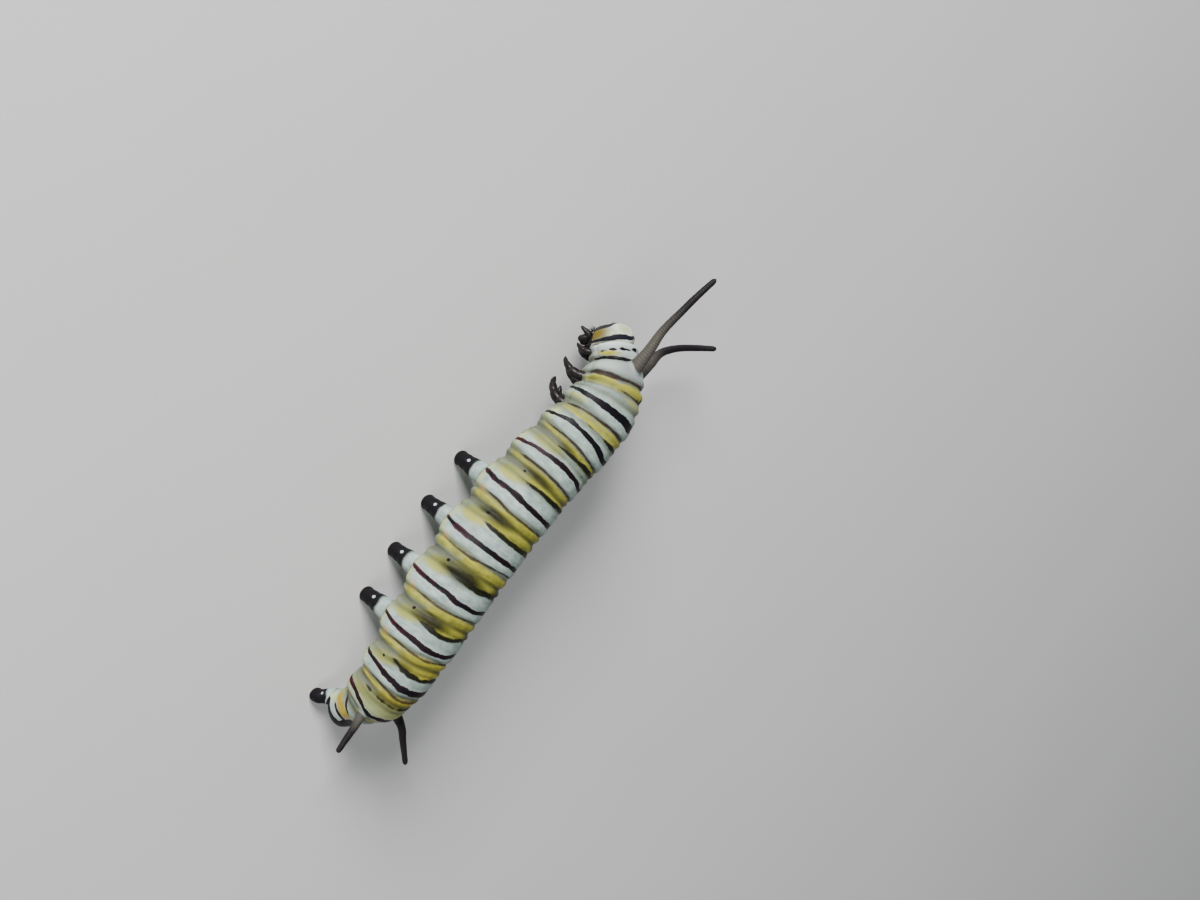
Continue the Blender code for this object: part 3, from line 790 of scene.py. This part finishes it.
# The yellow lies across the joint between two segments, from one white band to the next. On the
# back it is two folds with an olive hollow between; on the flank a strip and a pale cushion.
for name, strength, first, last, lengthwise, across in PATCHES:
    patch = strength * between(share, *lengthwise) * between(flank, *across)
    patch = patch * (part_of >= first) * (part_of <= last)
    fields[name] = np.maximum(fields.get(name, 0), patch)
second_line = np.full(len(along), -0.1)
for name, angles, shares, _ in SECOND_BARS:
    here = part_of == NAMES.index(name)
    second_line[here] = np.interp(around[here], angles, np.array(shares) / 100)
on_back = between(flank, *BACK)
front_strip = between(share, -0.05, second_line, 0.04) * on_back * (part_of >= A2)
fields["yellow"] = np.maximum(fields["yellow"], front_strip)
CUSHION_SHARE = 0.19
CUSHION_ANGLE = 74
x = (share - CUSHION_SHARE - 0.0015 * (flank - CUSHION_ANGLE)) / 0.16
y = (flank - CUSHION_ANGLE) / 26
cushion = np.clip(2.1 - 1.8 * np.hypot(x, y), 0, 1) * (part_of >= A2) * (part_of <= A8)
# Pale yellow on two of the white folds of the third thoracic segment.
pale_back = 0.75 * bump(share - 0.10, 0.10) * between(around, -80, 46, 24)
pale_flank = 0.75 * bump(share - 0.68, 0.10) * between(flank, 92, 132, 14)
cushion = np.maximum(cushion, (part_of == T3) * np.maximum(pale_back, pale_flank))
fields["cushion"] = np.maximum(fields["cushion"], cushion)
near_joint = np.min(np.abs(along[:, None] - STARTS[None, A2:TAIL]), axis=1)
# Darker olive along each joint on the back: partly the skin's own olive, partly painted shade in
# the joint's groove.
fields["olive"] = bump(near_joint, 0.17) * on_back
# Lavender grey in the hollow between two segments on the flanks, and beside the root of each horn.
lavender = bump(near_joint, 0.30) * between(flank, 58, 116, 14)
for name, at, angles, aside, reach in (
    ("thorax_2", 0.46, FRONT_ANGLES, 1.45, 1.95),
    ("abdomen_8", 0.80, REAR_ANGLES, 1.0, 0.85),
):
    for angle in angles:
        root = skin_point(place_on(name, at), angle * aside)
        away = np.linalg.norm(points - root, axis=1) / reach
        lavender = np.maximum(lavender, bump(away, 1))
fields["lavender"] = lavender
# Painted shade in the hollows of the skin, darker the deeper its folds lie; the second field
# spreads it wider.
fields["hollow"] = np.clip(-folds_at(along, around) / 0.30, 0, 1)
fields["shade"] = np.clip(-folds_at(along, around, 2.4) / 0.34, 0, 1)
fields["along"] = along
fields["around"] = flank * per_degree
fields["horn"] = horn * belongs
fields["foot"] = foot * belongs
fields["limb"] = belongs
fields["shield"] = shield * belongs
for name, values in fields.items():
    layer = mesh.attributes.new(name, "FLOAT", "POINT")
    layer.data.foreach_set("value", values.astype(np.float32))
mesh.vertices.foreach_set("co", (points * MM).reshape(-1))
mesh.update()
body_sheet.free()


class Wire:
    """One output in a material's nodes. Arithmetic on it adds Math nodes."""

    def __init__(self, tree, socket):
        self.tree = tree
        self.socket = socket

    def node(self, kind, settings, inputs, output=0):
        """A node of this kind with its settings, then its sockets; gives one of its outputs."""
        made = self.tree.nodes.new(kind)
        for key, value in settings.items():
            setattr(made, key, value)
        for key, value in inputs.items():
            if isinstance(value, Wire):
                self.tree.links.new(value.socket, made.inputs[key])
            else:
                made.inputs[key].default_value = value
        return Wire(self.tree, made.outputs[output])

    def math(self, operation, other, turned=False):
        """A Math node on this output and another, which comes first if turned."""
        first, second = (other, self) if turned else (self, other)
        return self.node("ShaderNodeMath", {"operation": operation}, {0: first, 1: second})

    def __add__(self, other):
        return self.math("ADD", other)

    __radd__ = __add__

    def __sub__(self, other):
        return self.math("SUBTRACT", other)

    def __rsub__(self, other):
        return self.math("SUBTRACT", other, True)

    def __mul__(self, other):
        return self.math("MULTIPLY", other)

    __rmul__ = __mul__

    def most(self, other):
        return self.math("MAXIMUM", other)

    def size(self):
        return self.math("ABSOLUTE", 0.0)

    def sine(self):
        return self.math("SINE", 0.0)

    def rise(self, low, high):
        """0 under low, 1 over high, and smooth between."""
        settings = {"interpolation_type": "SMOOTHSTEP", "clamp": True}
        return self.node("ShaderNodeMapRange", settings, {0: self, 1: low, 2: high, 3: 0.0, 4: 1.0})

    def field(self, name):
        """A value kept on the mesh's points."""
        return self.node("ShaderNodeAttribute", {"attribute_name": name}, {}, "Fac")

    def blend(self, first, second):
        """The first colour where this value is 0, the second where it is 1."""
        first = first if isinstance(first, Wire) else (*first, 1)
        second = second if isinstance(second, Wire) else (*second, 1)
        settings = {"data_type": "RGBA", "clamp_factor": True}
        return self.node("ShaderNodeMix", settings, {0: self, 6: first, 7: second}, 2)

    def noise(self, vector, scale, detail=2.0, roughness=0.5):
        settings = {"noise_dimensions": "3D"}
        inputs = {"Vector": vector, "Scale": scale, "Detail": detail, "Roughness": roughness}
        return self.node("ShaderNodeTexNoise", settings, inputs, "Fac")

    def bump(self, strength, distance):
        """A Normal that follows this height, of distance metres."""
        inputs = {"Height": self, "Strength": strength, "Distance": distance}
        return self.node("ShaderNodeBump", {}, inputs, "Normal")


def finish_of(name, roughness, subsurface=0.0, coat=0.0):
    """A new Principled material; gives it, its shader node and a Wire on Object coordinates."""
    made = bpy.data.materials.new(name)
    made.use_nodes = True
    tree = made.node_tree
    shader = tree.nodes["Principled BSDF"]
    for socket, value in (
        ("Roughness", roughness),
        ("Specular IOR Level", 0.14),
        ("Subsurface Weight", subsurface),
        ("Subsurface Scale", 0.0006),
        ("Subsurface Radius", (1.0, 0.7, 0.4)),
        ("Coat Weight", coat),
        ("Coat Roughness", 0.2),
    ):
        shader.inputs[socket].default_value = value
    coordinates = tree.nodes.new("ShaderNodeTexCoord")
    return made, shader, Wire(tree, coordinates.outputs["Object"])


def feed(wire, shader, socket):
    wire.tree.links.new(wire.socket, shader.inputs[socket])


BRIGHT_WHITE = (0.58, 0.65, 0.61)
WHITE = (0.39, 0.48, 0.44)
# Painted shade: a darker copy of the white.
SHADED_WHITE = (0.185, 0.240, 0.220)
YELLOW = (0.34, 0.325, 0.045)
GOLD = (0.42, 0.36, 0.035)
# A darker copy of the yellow: partly the skin's own olive, partly painted shade.
OLIVE = (0.155, 0.155, 0.022)
DEEP_OLIVE = (0.045, 0.045, 0.008)
CUSHION = (0.38, 0.37, 0.075)
CREAM = (0.40, 0.46, 0.24)
ORANGE = (0.55, 0.30, 0.04)
LAVENDER = (0.24, 0.27, 0.28)
BELLY = (0.25, 0.27, 0.22)
# Painted shade for the skin's hollows.
HOLLOW_SHADE = (0.09, 0.09, 0.055)
BROWN = (0.026, 0.015, 0.012)
BLACK = (0.004, 0.003, 0.005)
MAROON = (0.075, 0.012, 0.024)
SHADE = (0.080, 0.100, 0.055)
DULL_BLACK = (0.009, 0.009, 0.004)
HORN_GREY = (0.062, 0.057, 0.048)
HORN_BLACK = (0.010, 0.008, 0.010)
FOOT = (0.36, 0.31, 0.20)

skin_finish, shader, place = finish_of("banded_skin", 0.42, 0.15)
coarse = place.noise(place, 1500.0, 2.0, 0.5)
fine = place.noise(place, 5200.0, 3.0, 0.6)
length_along = place.field("along")
length_around = place.field("around")
# Wrinkles run round the body, so their pattern is stretched that way.
stretched = {0: length_along * 5.0, 1: length_around, 2: 0.0}
wrinkles = place.noise(place.node("ShaderNodeCombineXYZ", {}, stretched), 1.0, 3.0, 0.55)
waver = (coarse - 0.5) * 0.24 + (fine - 0.5) * 0.08


def bar_depth(label, strength):
    """How deep this point lies inside a bar, in millimetres, with a wavering edge."""
    return place.field(label + "_half") - place.field(label + "_offset").size() + waver * strength


main_depth = bar_depth("main", 1.0) + 0.03
black_depth = main_depth.most(place.field("black") + waver)
black_mask = black_depth.rise(-0.025, 0.025)
# The bars' edges are maroon in places, mostly on the flanks and behind the thorax.
maroon_mask = main_depth.rise(-0.02, 0.03) * (1.0 - main_depth.rise(0.05, 0.20))
maroon_mask = maroon_mask * coarse.rise(0.40, 0.60)
maroon_mask = maroon_mask * (0.25 + length_around.rise(2.6, 4.8) * 0.75)
maroon_mask = maroon_mask * length_along.rise(7.0, 11.0)
# The dark patches beside the second bars, partly painted shade, mottled.
dark_patch_and_shade = place.field("dark_patch_and_shade") * (0.35 + coarse * 0.6 + wrinkles * 0.7)
# Random mottling, which also lays painted shade: it mixes the white with its shaded copy and the
# yellow with the darker olive.
ground = (wrinkles * 0.5 + coarse * 0.6 - 0.05).rise(0.2, 0.8)
hollow = place.field("hollow")
white = ground.blend(SHADED_WHITE, WHITE)
white = (length_along.rise(1.5, 3.4) * 0.8 + 0.2).blend(BRIGHT_WHITE, white)
gold = ground.blend(OLIVE, length_along.rise(22.0, 30.0).blend(YELLOW, GOLD))
# How strong the painted shade over the wide hollows is: weaker on the thorax.
shading = length_along.rise(5.5, 9.0) * 0.26 + 0.42
# Where the painted shade of the hollows is deepest, the yellow folds thin out over it.
fold_mask = bar_depth("fold", 1.5).rise(-0.08, 0.10) * (1.0 - hollow.rise(0.3, 1.0) * 0.45)
# The colours of the body, each laid over those before it; some of them are painted shade.
color = white
for mask, layer in (
    (place.field("cream"), CREAM),
    (place.field("lavender") * 0.92, LAVENDER),
    (place.field("cushion"), CUSHION),
    (place.field("belly") * 0.85, BELLY),
    # Painted shade over the wide hollows of the folds.
    (place.field("shade").rise(0.05, 0.85) * shading, SHADE),
    (place.field("yellow"), gold),
    (place.field("orange") * 0.8, ORANGE),
    # Painted shade in the deeper hollows of the folds.
    (hollow.rise(0.15, 0.95) * 0.7, HOLLOW_SHADE),
    # The yellow folds, mottled with the olive, partly painted shade.
    (fold_mask, (ground * 0.6 + 0.4).blend(OLIVE, YELLOW)),
    # Olive along the joints, partly painted shade in their grooves.
    (place.field("olive") * (0.5 + ground * 0.4), DEEP_OLIVE),
    # Dark olive patches beside the second bars, partly painted shade.
    (dark_patch_and_shade.rise(0.02, 0.55) * 0.65, DEEP_OLIVE),
    (dark_patch_and_shade.rise(0.26, 0.95) * 0.92, DULL_BLACK),
    (bar_depth("crease", 0.7).rise(-0.10, 0.03) * 0.93, BROWN),
    (bar_depth("second", 1.1).rise(-0.11, 0.0), DULL_BLACK),
    (black_mask, BLACK),
    (maroon_mask * 0.85, MAROON),
):
    color = mask.blend(color, layer)
# Horns go from grey at the root to black. A proleg is pale, with a black shield on its outer side.
horn_place = place.field("horn") + (fine - 0.5) * 0.15
horn_color = horn_place.rise(0.26, 0.70).blend(HORN_GREY, HORN_BLACK)
foot_place = place.field("foot") + (coarse - 0.5) * 0.08
foot_color = foot_place.rise(0.84, 0.90).blend(white, FOOT)
on_shield = (place.field("shield") + (coarse - 0.5) * 0.5).rise(-0.25, -0.05)
on_shield = on_shield * foot_place.rise(0.27, 0.33) * (1.0 - foot_place.rise(0.84, 0.90))
foot_color = on_shield.blend(foot_color, BLACK)
# One white dot on each shield.
dot_away = place.field("foot") - 0.42
dot_spread = dot_away * dot_away * 16.0 + (1.0 - place.field("shield")) * 0.85 + (fine - 0.5) * 0.01
dot = 1.0 - dot_spread.rise(0.012, 0.024)
foot_color = dot.blend(foot_color, WHITE)
limb_color = foot_place.rise(0.05, 0.15).blend(horn_color, foot_color)
limb_mask = place.field("limb")
color = limb_mask.rise(0.25, 0.9).blend(color, limb_color)
feed(color, shader, "Base Color")
feed(wrinkles * 0.20 + fine * 0.15 + 0.34, shader, "Roughness")
rings = (place.field("horn") * 300.0).sine() * 0.5 + 0.5
relief = (wrinkles * 0.8 + fine * 0.3) * (1.0 - limb_mask) + (rings * 0.5 + fine * 0.3) * limb_mask
feed(relief.bump(0.6, 0.00006), shader, "Normal")
mesh.materials.clear()
mesh.materials.append(skin_finish)
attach(skin, "root")
soft_nodes = NAMES + [f"proleg_{n}_{word}" for n in PROLEG_SEGMENTS for _, word in SIDES]
soft_nodes += [f"anal_proleg_{word}" for _, word in SIDES]
soft_nodes += [f"{end}_tentacle_{word}" for end in ("front", "rear") for _, word in SIDES]
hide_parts(*soft_nodes)

# The head.
# A hard shiny capsule of two cheeks that meet in a shallow furrow, bent down under the first
# segment. It is cream, with a black band behind the face and one along the neck.
HEAD_HEIGHT = 3.7
HEAD_WIDTH = 3.5
HEAD_DEPTH = 2.5
HEAD_TURN = 25
HEAD_DROP = 40
HEAD_LEAN = 37
HEAD_FORWARD = 0.50
HEAD_LOWER = 0.05
HEAD_AXES = heading(HEAD_TURN, HEAD_DROP, HEAD_LEAN)
HEAD_CENTRE = section(0)[0] + HEAD_AXES @ np.array((HEAD_FORWARD, 0, -HEAD_LOWER))
CHIN_NARROWING = 0.20
CHIN_FLATTENING = 0.10
FURROW_DEPTH = 0.10
FURROW_WIDTH = 0.10


def head_point(direction, grow=0.0):
    """The capsule's surface along a direction in the head's own axes: forward, left, up."""
    x, y, z = direction
    narrow = 1 - CHIN_NARROWING * max(-z, 0) ** 2
    furrow = FURROW_DEPTH * bump(y, FURROW_WIDTH) * max(x + 0.7 * z, 0)
    depth = HEAD_DEPTH / 2 * (1 - CHIN_FLATTENING * max(-z, 0))
    flat = np.array((x * depth, y * HEAD_WIDTH / 2 * narrow, z * HEAD_HEIGHT / 2))
    reach = np.linalg.norm(flat)
    return HEAD_CENTRE + HEAD_AXES @ (flat * ((reach - furrow + grow) / reach))


def head_direction(azimuth, elevation, side=1):
    """A direction in the head's own axes, by degrees from straight ahead and above level."""
    level = cos(radians(elevation))
    turn = radians(azimuth)
    return np.array((cos(turn) * level, side * sin(turn) * level, sin(radians(elevation))))


def new_piece(name, bm, finish, nodes):
    """A finished object from a bmesh in millimetres, riding on the body."""
    bmesh.ops.scale(bm, vec=(MM, MM, MM), verts=bm.verts)
    bmesh.ops.recalc_face_normals(bm, faces=bm.faces)
    made_mesh = mesh_of(name, bm)
    made_mesh.shade_smooth()
    made_mesh.materials.append(finish)
    made = placed(name, made_mesh)
    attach(made, "root")
    if nodes:
        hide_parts(*nodes)
    return made


bm = bmesh.new()
bmesh.ops.create_uvsphere(bm, u_segments=128, v_segments=96, radius=1)
band = bm.verts.layers.float.new("band")
face = bm.verts.layers.float.new("face")
ochre = bm.verts.layers.float.new("ochre")
# Black stripes as elevation, azimuth from the face's middle and half width, all in degrees: round
# each cheek over the forehead, along the neck, and an upside-down V on the face.
STRIPES = (
    ((-90, 68, 18), (-40, 50, 16), (-25, 49, 14), (-6, 57, 12), (6, 58, 9), (12, 52, 11),
     (18, 40, 14), (25, 24, 16), (32, 8, 15), (37, 0, 8), (41, 0, -10), (90, 0, -60)),
    ((-90, 106, 4), (-37, 106, 5), (-19, 107, 6), (0, 108, 8), (12, 108, 9), (24, 107, 10),
     (45, 114, 10), (60, 126, 9), (76, 140, 10), (90, 150, 10)),
    ((-90, 30, 5), (-30, 23, 5), (0, 9, 5), (12, 0, 5), (19, 0, -4), (90, 0, -30)),
)
# The face is black below this elevation, by the azimuth.
FACE_TURNS = (0, 40, 96, 130, 180)
FACE_TOPS = (-34, -24, -40, -52, -60)
STRIPE_SCALE = 60
FACE_SCALE = 40
for vert in bm.verts:
    x, y, z = vert.co.normalized()
    azimuth = degrees(atan2(abs(y), x))
    elevation = degrees(np.arcsin(np.clip(z, -1, 1)))
    depth = -STRIPE_SCALE
    for stripe in STRIPES:
        heights, turns, halves = zip(*stripe)
        gap = abs(azimuth - np.interp(elevation, heights, turns)) * cos(radians(elevation) * 0.9)
        depth = max(depth, np.interp(elevation, heights, halves) - gap)
    vert[band] = depth / STRIPE_SCALE
    vert[face] = (np.interp(azimuth, FACE_TURNS, FACE_TOPS) - elevation) / FACE_SCALE
    cheek = bump(azimuth - 80, 44) * bump(elevation + 24, 44)
    vert[ochre] = float(max(cheek, 0.5 * bump(elevation - 2, 18)))
    vert.co = head_point((x, y, z))
CAPSULE_CREAM = (0.38, 0.39, 0.24)
CAPSULE_WHITE = (0.54, 0.60, 0.51)
CAPSULE_OCHRE = (0.125, 0.093, 0.015)
CAPSULE_BLACK = (0.012, 0.012, 0.018)
FACE_BLACK = (0.014, 0.010, 0.010)
capsule_finish, shader, place = finish_of("banded_capsule", 0.32, 0.08, 0.05)
grain = place.noise(place, 2600.0, 3.0, 0.6)
blotch = place.noise(place, 900.0, 2.0, 0.5)
ragged = (grain - 0.5) * 0.10
band_mask = (place.field("band") + ragged).rise(-0.015, 0.02)
face_mask = (place.field("face") + ragged * 2.0).rise(-0.03, 0.05)
ochre_mask = (place.field("ochre") * (0.70 + blotch * 0.6)).rise(0.12, 0.98)
color = blotch.rise(0.30, 0.62).blend(CAPSULE_CREAM, CAPSULE_WHITE)
color = ochre_mask.blend(color, CAPSULE_OCHRE)
color = band_mask.blend(color, CAPSULE_BLACK)
color = face_mask.blend(color, FACE_BLACK)
feed(color, shader, "Base Color")
feed(grain * 0.25 + 0.26, shader, "Roughness")
feed((grain * 0.5 + blotch * 0.5).bump(0.5, 0.00004), shader, "Normal")
new_piece("head_capsule", bm, capsule_finish, ["head"])

# The eyes.
# Six simple eyes on each cheek, in an arc above the feeler. Each is a hard, shiny black bead, half
# sunk in the wall of the capsule.
EYE_PLACES = ((36, -34), (46, -27), (57, -27), (66, -33), (62, -46), (44, -50))
EYE_RADIUS = 0.11
EYE_OUT = 0.01
EYE_BLACK = (0.004, 0.004, 0.005)
EYE_BROWN = (0.02, 0.016, 0.014)
eye_finish, shader, place = finish_of("eye_bead", 0.08, 0.0, 1.0)
speckle = place.noise(place, 5000.0)
feed(speckle.blend(EYE_BLACK, EYE_BROWN), shader, "Base Color")
bm = bmesh.new()
for side, _ in SIDES:
    for azimuth, elevation in EYE_PLACES:
        at = Vector(head_point(head_direction(azimuth, elevation, side), EYE_OUT))
        bead = bmesh.ops.create_icosphere(bm, subdivisions=3, radius=EYE_RADIUS)
        bmesh.ops.translate(bm, vec=at, verts=bead["verts"])
new_piece("simple_eyes", bm, eye_finish, [])

# Horny limbs of the head and thorax.
# Feelers, jaws, lower lip and true legs are hard, black brown and shiny, and each is a chain of
# tapering joints. A true leg ends in one hooked claw.
LIMB_BLACK = (0.006, 0.005, 0.006)
LIMB_BROWN = (0.020, 0.013, 0.011)
horn_finish, shader, place = finish_of("dark_horn", 0.3, 0.0, 0.06)
grain = place.noise(place, 3000.0, 3.0, 0.6)
feed(grain.rise(0.35, 0.75).blend(LIMB_BLACK, LIMB_BROWN), shader, "Base Color")
feed(grain * 0.25 + 0.26, shader, "Roughness")
feed(grain.bump(0.5, 0.00003), shader, "Normal")


def swollen(joints, amount):
    """A limb that is thicker in the middle of each joint and pinched between joints."""
    return lambda u, v: amount * (np.abs(np.sin(u * pi * joints)) ** 0.6 - 0.8)


# A feeler has three short joints and reaches forward from beside the mouth.
FEELER_PLACE = (46, -58)
FEELER_ROOT = -0.35
FEELER_REACHES = (0, 0.30, 0.48, 0.62, 0.74)
FEELER_WIDTHS = (0.50, 0.50, 0.36, 0.30, 0.12)
bm = bmesh.new()
for side, _ in SIDES:
    aim = head_direction(*FEELER_PLACE, side)
    root = head_point(aim, FEELER_ROOT)
    out = HEAD_AXES @ (aim + np.array((0.9, side * 0.15, 0)))
    route = [root + out * reach for reach in FEELER_REACHES]
    add_to(bm, sleeve(40, 24, limb_place(route, FEELER_WIDTHS, 0.08, swollen(3, 0.03))))
new_piece("feelers", bm, horn_finish, ["antenna_left", "antenna_right"])

# The jaws hang from the capsule's lower edge and lean together; the lower lip stands behind them.
JAW_WIDTHS = (0.52, 0.58, 0.56, 0.36)
LIP_WIDTHS = (0.78, 0.80, 0.66, 0.36)
below = np.array((0.12, 0, -1))
MOUTH = head_point(below / np.linalg.norm(below))


def mouth_route(root, steps):
    """A smooth route from a root near the mouth, both in the head's own axes."""
    top = MOUTH + HEAD_AXES @ np.array(root)
    return smooth_route([top + HEAD_AXES @ np.array(step) for step in steps], 12)


bm = bmesh.new()
for side, _ in SIDES:
    steps = ((0, 0, 0), (0.02, -side * 0.03, -0.50), (0.05, -side * 0.16, -0.80))
    route = mouth_route((0.30, side * 0.42, 0.35), steps)
    add_to(bm, sleeve(30, 24, limb_place(route, JAW_WIDTHS, 0.16)))
new_piece("jaws", bm, horn_finish, ["mandible_left", "mandible_right"])
bm = bmesh.new()
route = mouth_route((-0.50, 0, 0.45), ((0, 0, 0), (0, 0, -0.6), (0.05, 0, -0.95)))
add_to(bm, sleeve(30, 24, limb_place(route, LIP_WIDTHS, 0.15, swollen(2, 0.03))))
new_piece("lower_lip", bm, horn_finish, ["labium"])

# The upper lip, a short plate over the jaws.
bm = bmesh.new()
bmesh.ops.create_uvsphere(bm, u_segments=32, v_segments=20, radius=1)
bmesh.ops.scale(bm, vec=(0.22, 0.55, 0.30), verts=bm.verts)
turned = Matrix(HEAD_AXES.tolist()).to_4x4()
turned.translation = head_point(head_direction(0, -52), -0.05)
bmesh.ops.transform(bm, matrix=turned, verts=bm.verts)
new_piece("upper_lip", bm, horn_finish, [])

# Short stiff bristles stand all over the lower face, spread evenly by the two golden steps.
BRISTLES = 240
TURN_STEP = 137.508
RISE_STEP = 0.618
BRISTLE_SPREAD = 210
BRISTLE_TOP = -26
BRISTLE_FALL = 44
BRISTLE_LENGTH = 0.38
bm = bmesh.new()
for k in range(BRISTLES):
    azimuth = (k * TURN_STEP) % BRISTLE_SPREAD - BRISTLE_SPREAD / 2
    elevation = BRISTLE_TOP - BRISTLE_FALL * ((k * RISE_STEP) % 1) - abs(azimuth) * 0.08
    aim = head_direction(azimuth, elevation)
    lean = Vector(HEAD_AXES @ (aim + np.array((0.25, 0, -0.5 + 0.4 * sin(k * 2.1)))))
    length = BRISTLE_LENGTH + 0.16 * sin(k * 1.3)
    standing = lean.to_track_quat("Z", "Y").to_matrix().to_4x4()
    standing.translation = Vector(head_point(aim, -0.02)) + lean.normalized() * length * 0.4
    bmesh.ops.create_cone(
        bm, cap_ends=True, segments=6, radius1=0.022, radius2=0.005, depth=length, matrix=standing
    )
new_piece("face_bristles", bm, horn_finish, [])

# The true legs, a pair under each segment of the thorax: its number, their size, the share of the
# segment at which they stand. Each bends forward, and in at its claw.
LEGS = ((1, 0.70, 0.40), (2, 0.95, 0.78), (3, 1.08, 0.98))
LEG_ANGLE = 150
LEG_ROUTE = (
    (0, 0, 0), (0.0, 0.15, -0.8), (0.25, 0.20, -1.4), (0.70, 0.10, -1.9), (1.15, -0.05, -2.1),
)
LEG_WIDTHS = (0.86, 0.80, 0.62, 0.46, 0.14)
bm = bmesh.new()
for number, size, share in LEGS:
    s = place_on(f"thorax_{number}", share)
    turned = section(s)[1]
    widths = [width * size for width in LEG_WIDTHS]
    for side, _ in SIDES:
        root = skin_point(s, side * LEG_ANGLE, -0.5)
        points = [root + turned @ np.array((x, side * y, z)) * size for x, y, z in LEG_ROUTE]
        route = smooth_route(points, 24)
        add_to(bm, sleeve(70, 28, limb_place(route, widths, 0.05, swollen(4, 0.05 * size))))
leg_nodes = [f"leg_{number}_{word}" for number, _, _ in LEGS for _, word in SIDES]
new_piece("true_legs", bm, horn_finish, leg_nodes)

# The stage.
# A plain pale floor under the soles, with a large soft lamp over the animal's left side, a weaker
# one from ahead, and even light all round.
bm = bmesh.new()
bmesh.ops.create_grid(bm, x_segments=1, y_segments=1, size=1.0)
floor_mesh = mesh_of("floor", bm)
floor = placed("floor", floor_mesh)
floor_finish, shader, place = finish_of("pale_floor", 0.8)
mottle = place.noise(place, 60.0)
feed(mottle.blend((0.60, 0.60, 0.59), (0.63, 0.63, 0.62)), shader, "Base Color")
floor_mesh.materials.append(floor_finish)


def lamp(name, place, size, power):
    """A square soft lamp that faces the origin."""
    light = bpy.data.lights.new(name, "AREA")
    light.size = size
    light.energy = power
    made = placed(name, light)
    made.location = place
    made.rotation_euler = (-Vector(place)).to_track_quat("-Z", "Y").to_euler()


lamp("key_lamp", (0.14, 0.27, 0.14), 0.12, 2.5)
lamp("fill_lamp", (-0.20, 0.10, 0.22), 0.20, 0.35)
world = bpy.data.worlds.new("studio")
world.use_nodes = True
world.node_tree.nodes["Background"].inputs["Color"].default_value = (0.92, 0.96, 1.0, 1)
world.node_tree.nodes["Background"].inputs["Strength"].default_value = 0.22
bpy.context.scene.world = world

# The camera is turned with the insect, so that it sees it from the photograph's side.
camera_data = bpy.data.cameras.new("camera")
camera_data.lens = 50
camera_data.sensor_width = 36
camera_data.clip_start = 0.005
camera = placed("camera", camera_data)
camera.location = (-0.0035071, 0.0904035, 0.0894079)
camera.rotation_euler = Euler((radians(-30.229), radians(-38.631), radians(-40.26)))
bpy.context.scene.camera = camera
